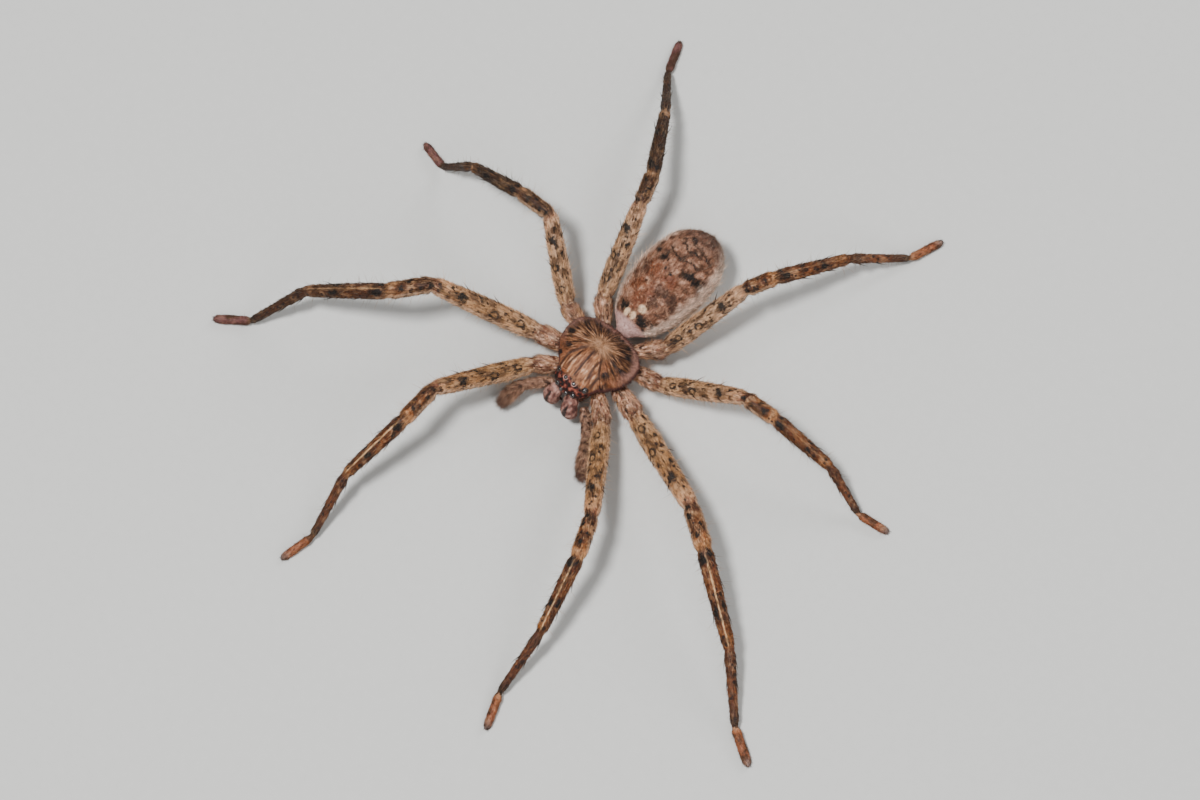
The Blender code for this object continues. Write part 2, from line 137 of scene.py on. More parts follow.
# Spines of a leg: how far along, and the turn round it in degrees, 0 on top and 90 to the rear
SPINE_ROWS = {
    "femur": ((0.3, 5), (0.55, -6), (0.8, 4), (0.44, 62), (0.44, -62), (0.72, 58), (0.72, -58)),
    "tibia": ((0.3, 96), (0.3, -96), (0.66, 92), (0.66, -92), (0.46, 140), (0.46, -140)),
    "metatarsus": ((0.12, 112), (0.12, -112), (0.42, 100), (0.42, -100)),
}
SPINE_LENGTH = {"femur": 1.3, "tibia": 1.6, "metatarsus": 1.4}
SPINE_LEAN = {"femur": 52, "tibia": 72, "metatarsus": 74}  # degrees towards the claws
SPINE_ROOT = 0.85  # share of the leg's radius at which a spine is rooted
SPINE_BEND = 0.12
SPINE_VARIES = {"place": 0.03, "turn": 6, "lean": 6, "length": 0.12}
CLAW_SET_BACK, CLAW_LENGTH, CLAW_RADIUS, CLAW_LEAN, CLAW_BEND = 0.3, 0.55, 0.06, 78, 0.55
CROWDED = {0: -1, 3: 1}  # the side of a femur that lies by the palps or the abdomen

# The carapace along Y: half width and top, with the heights of its rim and underside
CARAPACE_HALF_WIDTH = (
    (-6.95, 2.35), (-5.6, 2.6), (-4.6, 2.85), (-3.5, 3.9), (-2.4, 4.75), (-0.8, 5.05), (0.8, 4.95),
    (2.7, 4.3),
)
CARAPACE_TOP = (
    (-6.95, 6.0), (-5.6, 6.55), (-4.0, 6.95), (-2.0, 7.3), (-0.6, 7.15), (0.8, 6.75), (2.7, 5.9),
)
CARAPACE_RIM = 4.95
CARAPACE_UNDERSIDE = 4.75
FOVEA = (0.0, -0.1)
FURROWS = (38, 76, 112, 146)  # degrees from straight back, one towards each coxa
SHELL_RINGS, SHELL_TOP_RINGS, SHELL_AROUND = 84, 66, 132

# The core under the carapace
CORE_Y = (-4.5, 2.6)
CORE_HALF_WIDTH = ((-4.5, 1.5), (-3.3, 1.85), (-1.75, 2.6), (0.1, 2.65), (1.75, 2.05), (2.6, 1.2))
CORE_TOP = 4.4
CORE_LEVEL = 3.3
CORE_BOTTOM = 2.05
CORE_RINGS = 60
PLEURA_INSET = 0.9  # how far inside the carapace's rim the soft flank stays
PLEURA_HEIGHTS = (CARAPACE_UNDERSIDE + 0.1, 3.7)
MAXILLA = ((0.95, -5.2, 2.95), (0.68, 1.0, 1.05))
LABIUM = ((0.0, -4.75, 2.25), (0.56, 0.9, 0.37))

# The abdomen along Y
ABDOMEN_Y = (3.1, 18.3)
ABDOMEN_HALF_WIDTH = ((3.1, 2.9), (5.0, 3.5), (8.0, 4.15), (11.5, 4.5), (14.5, 4.3), (18.3, 3.8))
ABDOMEN_TOP = ((3.1, 6.5), (5.0, 7.4), (8.0, 8.2), (11.5, 8.6), (15.0, 8.2), (18.3, 7.2))
ABDOMEN_LEVEL = ((3.1, 4.7), (8.0, 4.8), (18.3, 4.9))
ABDOMEN_BOTTOM = ((3.1, 3.2), (6.0, 2.0), (10.0, 1.1), (14.0, 1.1), (18.3, 2.2))
ABDOMEN_TURN = 1.5  # degrees about the waist
ABDOMEN_RINGS, ABDOMEN_AROUND = 90, 80
PEDICEL = ((0, 1.6, 3.8), (0, 2.6, 3.85), (0, 3.1, 4.0), (0, 3.7, 4.3), (0, 5.0, 4.6))
PEDICEL_RADII = (0.6, 0.6, 0.75, 1.5, 1.9)
SPINNERETS = ((0.55, 17.4, 2.9), (0.45, 17.6, 3.6))
SPINNERET_RADII = (0.34, 0.31, 0.17)

# Mouthparts, left side
CHELICERA = (
    (1.42, -7.5, 1.35), (1.42, -7.6, 1.7), (1.4, -7.65, 2.6), (1.36, -7.6, 3.5), (1.34, -7.4, 4.2),
    (1.33, -7.25, 4.6),
)
CHELICERA_RADII = (0.45, 0.8, 1.0, 1.08, 0.9, 0.5)
CHELICERA_NECK = ((1.3, -7.5, 3.85), (1.15, -7.0, 4.0), (1.0, -6.1, 4.1))
CHELICERA_NECK_RADII = (0.9, 0.86, 0.8)
FANG = ((1.45, -7.4, 1.75), (1.5, -7.1, 1.2), (1.1, -6.95, 0.95), (0.65, -6.95, 1.0))
FANG_RADII = (0.38, 0.34, 0.26, 0.1)
PALPS = {
    "left": (
        (2.3, -6.15, 2.7),
        (3.7, -7.3, 2.5),
        (4.6, -8.2, 2.3),
        (5.6, -9.6, 2.1),
        (6.5, -10.9, 1.8),
        (7.3, -12.1, 1.3),
    ),
    "right": (
        (2.3, -6.15, 2.7),
        (3.3, -7.1, 2.75),
        (4.2, -8.0, 2.75),
        (5.1, -9.2, 2.6),
        (5.4, -10.4, 2.1),
        (5.65, -11.7, 1.4),
    ),
}
PALP_RADII = (0.55, 0.6, 0.6, 0.66, 0.76, 0.42)
EYES = ("front_middle", "front_outer", "rear_middle", "rear_outer")

# Coats: tufts, hairs in a tuft, length, radius at the root, lean from upright, spread and bend
COATS = {
    "leg": (6400, 3, 0.56, 0.024, 70, 13, 0.22),
    "leg bristle": (420, 1, 1.35, 0.017, 30, 60, 0.12),
    "tarsus brush": (1000, 3, 0.3, 0.016, 60, 25, 0.2),
    "abdomen": (12000, 3, 0.62, 0.026, 70, 20, 0.22),
    "abdomen bristle": (1300, 1, 1.3, 0.019, 44, 26, 0.25),
    "carapace": (11500, 3, 0.5, 0.02, 80, 7, 0.15),
    "carapace bristle": (260, 1, 0.8, 0.015, 35, 40, 0.3),
    "core": (3600, 3, 0.75, 0.026, 60, 25, 0.25),
    "chelicera": (1900, 3, 0.3, 0.017, 74, 14, 0.2),
    "palp": (2600, 3, 0.6, 0.02, 50, 22, 0.25),
    "palp bristle": (200, 1, 1.0, 0.016, 35, 40, 0.2),
    "spinneret": (500, 3, 0.35, 0.022, 60, 25, 0.2),
}

BAKE_PATCH = 0.003  # side of a hair's patch on the map OFBake
HAIR_FLOOR = 0.01  # hairs stay between this height and the next
HAIR_TOP = CAD_BOX[1][2] / MM + 0.2

# Studio lights: where each stands, its size and its share of the key light's power
LIGHTS = (
    ("key", (-0.06, -0.1, 0.5), 0.1, 1.2), ("fill", (0.36, -0.12, 0.3), 0.3, 0.3),
    ("back", (0.05, 0.42, 0.25), 0.2, 0.35),
)
SKY = 0.24

# The camera: how far it leans off straight above, its turn, its distance and what it aims at
CAMERA_LEAN = (16.13, -9.36)  # degrees towards the spider's left and towards its rear
CAMERA_TURN = 42.81
CAMERA_DISTANCE = 395.0
CAMERA_FOCAL = 3434.8  # pixels of the photograph
CAMERA_PIVOT = Vector((0, 0, 4.0))
CAMERA_AIM = Vector((3.51, -4.54, 4.0))

DEEPEN = 1.32  # power that the marks' linear colours are raised to

# Sockets of a colour Mix node
FACTOR, UNDER, OVER, MIXED = 0, 6, 7, 2
LESS = {"operation": "SUBTRACT"}

# Cuticle under short brown hair, seen through thin wax: bands from the coxa to the claws
LEG_BANDS = (
    (0.0, "#9A7060"), (0.45, "#CCA08A"), (0.78, "#DEB69E"), (0.93, "#A67A6A"), (1.0, "#5C3832"),
    (1.05, "#C8A07C"), (1.12, "#CAA480"), (1.5, "#B88F68"), (1.8, "#AC825E"), (1.88, "#D8AA84"),
    (1.95, "#E4B894"), (1.99, "#965F50"), (2.03, "#4E271B"), (2.1, "#5E321B"), (2.35, "#8C5A32"),
    (2.62, "#6C3E20"), (2.84, "#A56D40"), (2.92, "#D2A47C"), (2.98, "#C09068"), (3.02, "#66351A"),
    (3.4, "#814B22"), (3.58, "#693C1E"), (3.7, "#66391C"), (3.8, "#7C4A23"), (3.93, "#9E6C42"),
    (4.0, "#744228"), (4.05, "#5A3320"), (4.5, "#835030"), (4.84, "#553020"), (4.93, "#27140D"),
    (4.98, "#22130C"), (5.03, "#C09270"),
)
TARSUS_BANDS = ((5.03, "#C89C7C"), (5.1, "#B07858"), (5.7, "#AC7256"), (5.9, "#9A8076"), (6.0, "#A49698"))
# Ringed spots of a femur, and plain dark blots of a leg: station, turn, half length, half width
LEG_RING_SPOTS = ((1.19, 0.46, 0.041, 0.068), (1.43, 0.41, 0.046, 0.073))
LEG_BLOTS = (
    (1.735, 0.45, 0.043, 0.085), (2.05, 0.42, 0.045, 0.07), (2.26, 0.4, 0.06, 0.05),
    (2.48, 0.58, 0.04, 0.05), (2.7, 0.46, 0.05, 0.05), (3.09, 0.42, 0.062, 0.085), (3.05, 0.6, 0.03, 0.05),
    (3.62, 0.41, 0.055, 0.055), (3.58, 0.62, 0.045, 0.045), (1.3, 0.6, 0.018, 0.03),
    (1.57, 0.6, 0.025, 0.035), (1.56, 0.36, 0.02, 0.03), (1.85, 0.56, 0.016, 0.03),
)
TIBIA_LINE = (3.06, 3.97)
PALE_RINGS = ((2.88, 2.97), (3.9, 3.97))

# Marks of the abdomen: x, y, half width, half length, in millimetres
ABDOMEN_DARK = (
    (-1.5, 5.15, 0.7, 0.45), (1.25, 5.0, 0.75, 0.5), (2.6, 5.4, 0.35, 0.3), (-1.84, 12.18, 0.62, 0.45),
    (1.69, 12.15, 0.6, 0.42), (2.4, 12.5, 0.5, 0.45), (3.2, 12.35, 0.65, 0.5), (-3.1, 12.5, 0.4, 0.3),
    (0.31, 11.1, 0.42, 0.14), (-0.6, 11.3, 0.2, 0.2), (-1.35, 8.8, 0.28, 0.26),
)
ABDOMEN_DUSKY = ((1.0, 8.9, 0.8, 0.7), (2.7, 8.7, 0.8, 0.6), (0.9, 7.2, 0.5, 0.9), (-2.6, 9.6, 0.6, 0.8))
ABDOMEN_PALE = ((-0.75, 4.85, 0.36, 0.42), (0.1, 4.95, 0.36, 0.42), (0.55, 6.1, 0.5, 0.45))
ABDOMEN_RED = ((-0.3, 7.2, 1.2, 1.6), (-1.3, 10.4, 1.1, 1.0), (0.9, 10.2, 1.0, 0.9), (-1.6, 8.0, 0.7, 1.0))
ABDOMEN_CHEVRONS = ((13.1, 2.3, 0.3), (15.95, 2.5, -0.2), (14.5, 1.5, 0.25))  # y, reach, slope

# Marks of the carapace, in the same way
EYE_AMBER = ((1.45, -5.0, 0.3, 0.2),)
CARAPACE_DARK = (
    (3.65, -0.9, 0.3, 0.3), (3.1, 1.0, 0.45, 0.35), (-0.9, 2.05, 0.5, 0.3), (1.1, 2.1, 0.7, 0.35),
    (2.2, 1.7, 0.5, 0.35), (-2.3, 1.75, 0.45, 0.3), (-3.5, 1.0, 0.4, 0.4), (-3.8, -0.9, 0.35, 0.45),
    (-3.15, -2.4, 0.5, 0.3), (2.75, -2.4, 0.35, 0.3), (-3.3, -3.6, 0.22, 0.28), (3.25, -3.5, 0.25, 0.35),
)


class SpiderSettings(bpy.types.PropertyGroup):
    """Sizes and colours that a user would change."""

    coat_depth: FloatProperty(
        name="Coat depth",
        description="How far the skin lies inside the solids",
        default=0.1 * MM,
        min=0,
        unit="LENGTH",
    )
    hair_length: FloatProperty(
        name="Hair length",
        description="Length of the hairs against their natural length",
        default=1.0,
        min=0.1,
        max=2,
        subtype="FACTOR",
    )
    hair_density: FloatProperty(
        name="Hair density",
        description="Number of tufts against the natural number",
        default=1.0,
        min=0.05,
        max=1.5,
        subtype="FACTOR",
    )
    spine_radius: FloatProperty(
        name="Spine radius",
        description="Radius of a leg spine where it leaves the skin",
        default=0.07 * MM,
        unit="LENGTH",
    )
    floor_size: FloatProperty(
        name="Floor size",
        description="Side of the square floor",
        default=3.0,
        unit="LENGTH",
    )
    light: FloatProperty(
        name="Key light",
        description="Power of the main soft light",
        default=2.6,
        unit="POWER",
    )
    spine_colour: FloatVectorProperty(
        name="Spine colour",
        description="Colour of the hard spines and claws",
        default=(0.012, 0.006, 0.004, 1),
        size=4,
        min=0,
        max=1,
        subtype="COLOR",
    )
    floor_colour: FloatVectorProperty(
        name="Floor colour",
        description="Colour of the floor",
        default=(0.62, 0.62, 0.6, 1),
        size=4,
        min=0,
        max=1,
        subtype="COLOR",
    )


def linear(code):
    """An sRGB hex colour as linear light, with full alpha."""
    channels = [int(code[i : i + 2], 16) / 255 for i in (1, 3, 5)]
    return (*(c / 12.92 if c <= 0.04045 else ((c + 0.055) / 1.055) ** 2.4 for c in channels), 1.0)


def fill(tree, node, inputs):
    """Links a node's inputs to sockets, or sets them to plain values or hex colours."""
    for socket, value in inputs.items():
        if isinstance(value, bpy.types.NodeSocket):
            tree.links.new(value, node.inputs[socket])
        else:
            node.inputs[socket].default_value = linear(value) if isinstance(value, str) else value


def add_node(tree, kind, inputs=None, out=0, stops=(), **settings):
    """Adds a node with its settings and its inputs, and gives back one of its outputs."""
    node = tree.nodes.new("ShaderNode" + kind)
    for name, value in settings.items():
        setattr(node, name, value)
    fill(tree, node, inputs or {})
    for number, (place, colour) in enumerate(stops):
        elements = node.color_ramp.elements
        stop = elements[number] if number < len(elements) else elements.new(place)
        stop.position = place
        stop.color = linear(colour) if isinstance(colour, str) else (colour, colour, colour, 1)
    return node.outputs[out]


def new_material(name, paint, **values):
    """A material, made once: paint(tree) gives what is linked to its shader, and the rest is plain."""
    if name in bpy.data.materials:
        return bpy.data.materials[name]
    material = bpy.data.materials.new(name)
    material.use_nodes = True
    tree = material.node_tree
    plain = {socket.replace("_", " "): value for socket, value in values.items()}
    fill(tree, tree.nodes["Principled BSDF"], plain | paint(tree))
    return material


def between(stations, at):
    """The smooth value at a place along stations of (place, value)."""
    for (a, low), (b, high) in zip(stations, stations[1:]):
        if at <= b:
            share = max(0.0, (at - a) / (b - a))
            return low + (high - low) * (share + share * share * (3 - 2 * share)) / 2
    return stations[-1][1]


def bell(distance, width):
    """One in the middle, falling smoothly to nothing past twice the width."""
    return math.exp(-((distance / width) ** 2))


# Colours, each worked out from the map Marks and the attribute place


class Markings:
    """Lays the colours of one kind of surface, one over another, for its skin and its hair alike."""

    def __init__(self, tree):
        self.tree = tree
        self.marks = self.add("UVMap", uv_map="Marks")
        self.place = self.add("Attribute", attribute_name="place", out=1)
        self.along, self.around, _ = self.parts(self.marks)

    def add(self, kind, inputs=None, out=0, **settings):
        """Adds a node to the tree that these markings are drawn in."""
        return add_node(self.tree, kind, inputs, out, **settings)

    def parts(self, vector):
        """The three parts of a vector."""
        return [self.add("SeparateXYZ", {0: vector}, axis) for axis in range(3)]

    def mask(self, *shares):
        """Shares multiplied: each is a socket, a number, or a soft edge.

        A soft edge is (value, start, end, top, foot), where the last two are 1 and 0 if left out.
        """
        whole = None
        for share in shares:
            if isinstance(share, tuple):
                value, start, end, top, foot = share + (1.0, 0.0)[len(share) - 3 :]
                share = self.add("MapRange", {0: value, 1: start, 2: end, 3: foot, 4: top})
            whole = share if whole is None else self.add("Math", {0: whole, 1: share}, operation="MULTIPLY")
        return whole

    def lay(self, over, *shares):
        """Lays a colour over what is there, by a mask of the shares."""
        layers = {FACTOR: self.mask(*shares), UNDER: self.colour, OVER: over}
        self.colour = self.add("Mix", layers, MIXED, data_type="RGBA")

    def window(self, value, low, high, soft):
        """A mask, 1 where a value lies between two limits."""
        return self.mask((value, low - soft, low + soft), (value, high + soft, high - soft))

    def off(self, value, middle):
        """How far a value is from a middle, either way."""
        return self.add("Math", {0: self.add("Math", {0: value, 1: middle}, **LESS)}, operation="ABSOLUTE")

    def greatest(self, first, *others):
        """The greatest of some masks."""
        for other in others:
            first = self.add("Math", {0: first, 1: other}, operation="MAXIMUM")
        return first

    def far(self, point, x, y, half_x, half_y):
        """How far a point is from an oval's middle, where 1 is its edge."""
        moved = self.add("VectorMath", {0: point, 1: (x, y, 0)}, **LESS)
        scaled = self.add("VectorMath", {0: moved, 1: (1 / half_x, 1 / half_y, 0)}, operation="MULTIPLY")
        return self.add("VectorMath", {0: scaled}, 1, operation="LENGTH")

    def spots(self, point, ovals, ragged=0.0):
        """A mask, 1 inside any of the ovals, with ragged edges."""
        fars = [self.add("Math", {0: self.far(point, *oval), 1: ragged}) for oval in ovals]
        return self.greatest(*[self.mask((far, 1.25, 0.75)) for far in fars])

    def streaks(self, vector, scale, detail=2.0, shift=None):
        """Noise that is drawn out by different amounts along each axis."""
        vector = self.add("VectorMath", {0: vector, 1: scale}, operation="MULTIPLY")
        if shift:
            vector = self.add("VectorMath", {0: vector, 1: shift})
        return self.add("TexNoise", {"Vector": vector, "Scale": 1.0, "Detail": detail})

    def shift(self, grain, size):
        """Grain as a shift, up or down, that makes an edge ragged: a socket, or the inputs of its noise."""
        if isinstance(grain, dict):
            grain = self.add("TexNoise", {"Vector": self.place} | grain)
        return self.mask((grain, 0.0, 1.0, size, -size))


def leg_colour(skin):
    """A leg's bands, ringed spots, blots, specks and streaks, painted highlights along the flanks of its
    femurs and patellae, and the pale line of its tibia.
    """
    along, place = skin.along, skin.place
    ragged = skin.add("TexNoise", {"Vector": skin.place, "Scale": 2.4, "Detail": 3.0})
    shift = skin.shift(ragged, 0.018)
    shifted = skin.add("Math", {0: along, 1: shift})
    stops = [(station / TARSUS, colour) for station, colour in LEG_BANDS]
    skin.colour = skin.add("ValToRGB", {0: skin.mask(shifted, STATIONS / TARSUS)}, stops=stops)
    stops = [((station - TARSUS) / (STATIONS - TARSUS), colour) for station, colour in TARSUS_BANDS]
    tarsus = skin.add("ValToRGB", {0: skin.mask((shifted, TARSUS / STATIONS, 1.0))}, stops=stops)
    beyond = skin.mask((shifted, 5.025 / STATIONS, 5.035 / STATIONS))
    skin.lay(tarsus, beyond)
    # The rear legs and the right side are duller, with plum feet
    dull = skin.add("VectorMath", {0: place, 1: (-1, 0.6, 0)}, 1, operation="DOT_PRODUCT")
    dull = skin.mask((dull, 7, 24))
    outer = skin.mask((along, 1.99 / STATIONS, 2.14 / STATIONS, 0.9))
    skin.lay("#33200F", dull, outer)
    # The femurs of the rear pairs are paler
    paler = skin.add("VectorMath", {0: place, 1: (-0.3, 1, 0)}, 1, operation="DOT_PRODUCT")
    inner = skin.window(along, 1.04 / STATIONS, 1.99 / STATIONS, 0.01)
    skin.lay("#F0D2BC", (paler, -6, 8, 0.42), inner)
    distal = (along, 2.0 / STATIONS, 4.1 / STATIONS, 0.5, 1.0)
    distal = skin.mask(distal, (skin.mask(dull, outer), 0.0, 1.0, 0.6, 1.0))
    for low, high in PALE_RINGS:
        skin.lay("#D0A684", dull, skin.window(shifted, low / STATIONS, high / STATIONS, 0.004), 0.6)
    skin.lay("#94686A", dull, (along, 5.02 / STATIONS, 5.1 / STATIONS, 0.75))
    patches = skin.add("TexNoise", {"Vector": skin.place, "Scale": 0.95, "Detail": 3.0})
    skin.lay("#D2B090", (patches, 0.51, 0.64, 0.6), distal)
    skin.lay("#5C3D29", (patches, 0.49, 0.4, 0.8))
    base = skin.mask((along, 1.12 / STATIONS, 0.98 / STATIONS))
    skin.lay("#F2D2BC", base, (ragged, 0.5, 0.6, 0.75))
    skin.lay("#85503F", base, (ragged, 0.47, 0.38, 0.75))
    streaks = skin.streaks(skin.marks, (44, 52, 0), 2.0, place)
    skin.lay("#D6B48C", (streaks, 0.54, 0.68, 0.6), distal)
    skin.lay("#3E261A", (streaks, 0.46, 0.34, 0.6))
    # Painted highlights along both flanks of the femurs and patellae, where their hair catches the light, and
    # an olive top on the femurs
    turned = skin.add("Math", {0: skin.around, 1: shift})
    aside = skin.off(turned, 0.5)
    flank_highlight_reach = skin.window(along, 1.0 / STATIONS, 2.95 / STATIONS, 0.02)
    skin.lay("#F0D2B8", skin.window(aside, 0.165, 0.3, 0.03), skin.mask(flank_highlight_reach, 0.5))
    skin.lay("#8E7454", (aside, 0.15, 0.07), skin.mask(inner, 0.2))
    specks = skin.add("TexVoronoi", {"Vector": place, "Scale": 1.5, "Randomness": 1.0})
    chance = skin.add("TexNoise", {"Vector": skin.place, "Scale": 0.8, "Detail": 1.0})
    size = skin.mask((chance, 0.3, 0.7, 0.42, 0.1))
    speck = skin.add("Math", {0: size, 1: specks}, **LESS)
    skin.lay("#35201A", (speck, -0.03, 0.05, 0.9), (beyond, 0.0, 1.0, 0.1, 1.0))
    stations = skin.add("VectorMath", {0: skin.marks, 1: (STATIONS, 1, 0)}, operation="MULTIPLY")
    skin.lay("#1B100D", skin.spots(stations, LEG_BLOTS, skin.shift(ragged, 1.5)), 0.94)
    rough = skin.shift(ragged, 0.4)
    for oval in LEG_RING_SPOTS:
        far = skin.far(stations, *oval)
        skin.lay("#B48E68", (far, 0.5, 0.3, 0.8))
        skin.lay("#24150F", skin.window(skin.add("Math", {0: far, 1: rough}), 0.5, 1.02, 0.14), 0.92)
    # The pale line on top of a tibia, broken, and faint on the dull legs
    line = skin.window(turned, 0.482, 0.518, 0.008)
    reach = skin.window(along, TIBIA_LINE[0] / STATIONS, TIBIA_LINE[1] / STATIONS, 0.008)
    ahead = skin.add("Math", {0: skin.parts(place)[1], 1: dull})
    broken = (patches, 0.36, 0.46, 0.9, 0.35)
    skin.lay("#E0BE96", line, reach, broken, (ahead, -5, -13, 1.0, 0.2), (dull, 0.0, 1.0, 0.1, 1.0))


def abdomen_colour(skin):
    """Pinkish brown with a red-brown heart, dark spots in pairs, thin chevrons and lilac sides."""
    turned = skin.add("Mapping", {"Vector": skin.place, "Rotation": (0, 0, math.radians(ABDOMEN_TURN))})
    across, rearward, _ = skin.parts(turned)
    flat = skin.add("CombineXYZ", {0: across, 1: rearward})
    mottle = skin.add("TexNoise", {"Vector": skin.place, "Scale": 1.1, "Detail": 4.0})
    stops = ((0.36, "#583C30"), (0.46, "#8A6450"), (0.54, "#AC8570"), (0.7, "#C8A692"))
    skin.colour = skin.add("ValToRGB", {0: mottle}, stops=stops)
    rough = skin.shift(mottle, 1.6)
    skin.lay("#8E5636", skin.spots(flat, ABDOMEN_RED, rough), 0.7)
    skin.lay("#553729", skin.spots(flat, ABDOMEN_DUSKY, rough), 0.65)
    hairs = skin.streaks(skin.marks, (70, 46, 0))
    skin.lay("#DABCA2", (hairs, 0.55, 0.7, 0.4))
    skin.lay("#4B2D22", (hairs, 0.45, 0.33, 0.5))
    size = skin.add("Math", {0: across}, operation="ABSOLUTE")
    wave = skin.shift({"Scale": 0.8, "Detail": 2.0}, 1.1)
    dark = skin.spots(flat, ABDOMEN_DARK, skin.shift({"Scale": 2.6, "Detail": 3.0}, 1.7))
    for y, reach, slope in ABDOMEN_CHEVRONS:
        bent = skin.add("Math", {0: size, 1: slope, 2: y}, operation="MULTIPLY_ADD")
        off = skin.off(rearward, skin.add("Math", {0: bent, 1: wave}))
        dark = skin.greatest(dark, skin.mask((off, 0.24, 0.11), (size, reach + 0.3, reach - 0.3)))
    skin.lay("#26150F", dark)
    skin.lay("#EAD2B6", skin.spots(flat, ABDOMEN_PALE), 0.9)
    turn = skin.off(skin.around, 0.5)
    skin.lay("#E6D2C4", (skin.add("Math", {0: turn, 1: skin.shift(mottle, 0.06)}), 0.14, 0.2, 0.92))
    skin.lay("#CAACA6", (rearward, 4.55, 4.15))
    skin.lay("#9A7867", (turn, 0.3, 0.38))
    skin.lay("#5E443D", (rearward, 15.2, 17.6, 0.6))


def carapace_colour(skin):
    """Hair that streams from a cream fovea, dark blots near a pink rim, and a maroon eye area flecked with
    painted pink highlights.
    """
    across, rearward, height = skin.parts(skin.place)
    away = skin.add("VectorMath", {0: skin.place, 1: (*FOVEA, 0)}, **LESS)
    away = skin.add("VectorMath", {0: away, 1: (1, 1, 0)}, operation="MULTIPLY")
    facing = skin.add("VectorMath", {0: away}, operation="NORMALIZE")
    reach = skin.add("CombineXYZ", {2: skin.mask(skin.along, 5.0)})
    rays = skin.streaks(facing, (15, 15, 0), 4.0, reach)
    stops = ((0.36, "#2C1B13"), (0.45, "#5E3E2A"), (0.53, "#8E684B"), (0.65, "#C4A084"))
    skin.colour = skin.add("ValToRGB", {0: rays}, stops=stops)
    skin.lay("#C8A486", (skin.along, 0.34, 0.05, 0.8))
    skin.lay("#42271F", (skin.along, 0.34, 0.6, 0.45), (rearward, -0.6, 1.2))
    cloud = skin.add("TexNoise", {"Vector": skin.place, "Scale": 0.9, "Detail": 3.0})
    size = skin.add("Math", {0: across}, operation="ABSOLUTE")
    skin.lay("#AC7858", (cloud, 0.4, 0.54, 0.95), skin.mask((rearward, -0.6, -1.9), 0.75))
    # The raised head lies between two grooves that meet at the fovea
    groove = skin.add("Math", {0: rearward, 1: -0.62, 2: 0.35}, operation="MULTIPLY_ADD")
    groove = skin.add("Math", {0: groove, 1: 2.25}, operation="MINIMUM")
    inside = skin.add("Math", {0: size, 1: groove}, **LESS)
    stops = ((0.36, "#714B36"), (0.48, "#A27556"), (0.58, "#BB8E6D"), (0.66, "#D8B69C"))
    head = skin.add("ValToRGB", {0: skin.streaks(skin.place, (2.6, 0.7, 0), 4.0)}, stops=stops)
    skin.lay(head, (inside, 0.25, -0.1), (rearward, -0.8, -1.6))
    flat = skin.add("CombineXYZ", {0: across, 1: rearward})
    blots = skin.spots(flat, CARAPACE_DARK, skin.shift({"Scale": 1.9, "Detail": 3.0}, 1.6))
    skin.lay("#251417", blots, (rays, 0.5, 0.6, 0.25, 0.92))
    rim = skin.add("Math", {0: skin.along, 1: skin.shift(cloud, 0.2)})
    skin.lay("#C29C90", (rim, 0.62, 0.72, 0.85), (rearward, -2.8, -0.6))
    skin.lay("#54303A", skin.window(skin.along, 0.775, 0.83, 0.012), 0.8)
    # Dark strokes: the middle line, two beside it, a wedge before the fovea and the two grooves
    beside = skin.add("Math", {0: rearward, 1: -0.14, 2: 0.87}, operation="MULTIPLY_ADD")
    strokes = (
        ((size, 0.16, 0.07, 0.85), (-4.9, -0.9, 0.25)),
        ((skin.off(size, beside), 0.2, 0.08, 0.75), (-4.3, -1.9, 0.3)),
        ((size, 0.5, 0.2, 0.7), (-1.7, -0.8, 0.2)),
        ((skin.off(size, groove), 0.26, 0.1, 0.75), (-4.8, -1.2, 0.3)),
    )
    strokes = [skin.mask(edge, skin.window(rearward, *limits)) for edge, limits in strokes]
    skin.lay("#3C2117", skin.greatest(*strokes))
    # The eye area: a dark maroon mottle whose pale pink flecks are painted highlights
    front = skin.add("Math", {0: rearward, 1: skin.shift(cloud, 0.6)})
    stops = ((0.45, "#1E0A09"), (0.55, "#66291F"), (0.67, "#B27563"))
    maroon = skin.add("TexNoise", {"Vector": skin.place, "Scale": 2.4, "Detail": 3.0})
    maroon = skin.add("ValToRGB", {0: maroon}, stops=stops)
    skin.lay(maroon, (front, -5.0, -5.4), (size, 2.75, 2.45))
    skin.lay("#A8683C", skin.spots(skin.add("CombineXYZ", {0: size, 1: rearward}), EYE_AMBER), 0.6)
    skin.lay("#D8CBBE", (height, 5.15, 5.0), (rearward, -6.2, -6.5))


def mouth_colour(skin):
    """Pinkish grey chelicerae, each with a dark stripe down its front."""
    mottle = skin.add("TexNoise", {"Vector": skin.place, "Scale": 1.6, "Detail": 3.0})
    stops = ((0.36, "#6A4844"), (0.48, "#A0786E"), (0.6, "#C8A398"))
    skin.colour = skin.add("ValToRGB", {0: mottle}, stops=stops)
    turn = skin.add("Math", {0: skin.around, 1: 0.5}, **LESS)
    turn = skin.add("Math", {0: turn, 1: skin.shift(mottle, 0.05)})
    turn = skin.add("Math", {0: turn}, operation="ABSOLUTE")
    skin.lay("#150D0E", (turn, 0.058, 0.03, 0.82), skin.window(skin.along, 0.06, 0.7, 0.04))


def palp_colour(skin):
    """Tan palps with brown specks and purplish-brown tips."""
    stops = ((0.38, "#553B32"), (0.46, "#987866"), (0.6, "#CCAA96"))
    mottle = skin.add("TexNoise", {"Vector": skin.place, "Scale": 2.0, "Detail": 3.0})
    skin.colour = skin.add("ValToRGB", {0: mottle}, stops=stops)
    skin.lay("#6C4A44", (skin.along, 0.68, 0.88, 0.75))


def belly_colour(skin):
    """Plain pinkish tan of the sternum, the flanks and the mouth's underside."""
    stops = ((0.36, "#6E4F3F"), (0.5, "#9C7766"), (0.64, "#BD998A"))
    mottle = skin.add("TexNoise", {"Vector": skin.place, "Scale": 1.2, "Detail": 3.0})
    skin.colour = skin.add("ValToRGB", {0: mottle}, stops=stops)


COLOURS = {
    "leg": leg_colour,
    "abdomen": abdomen_colour,
    "carapace": carapace_colour,
    "mouth": mouth_colour,
    "palp": palp_colour,
    "belly": belly_colour,
}


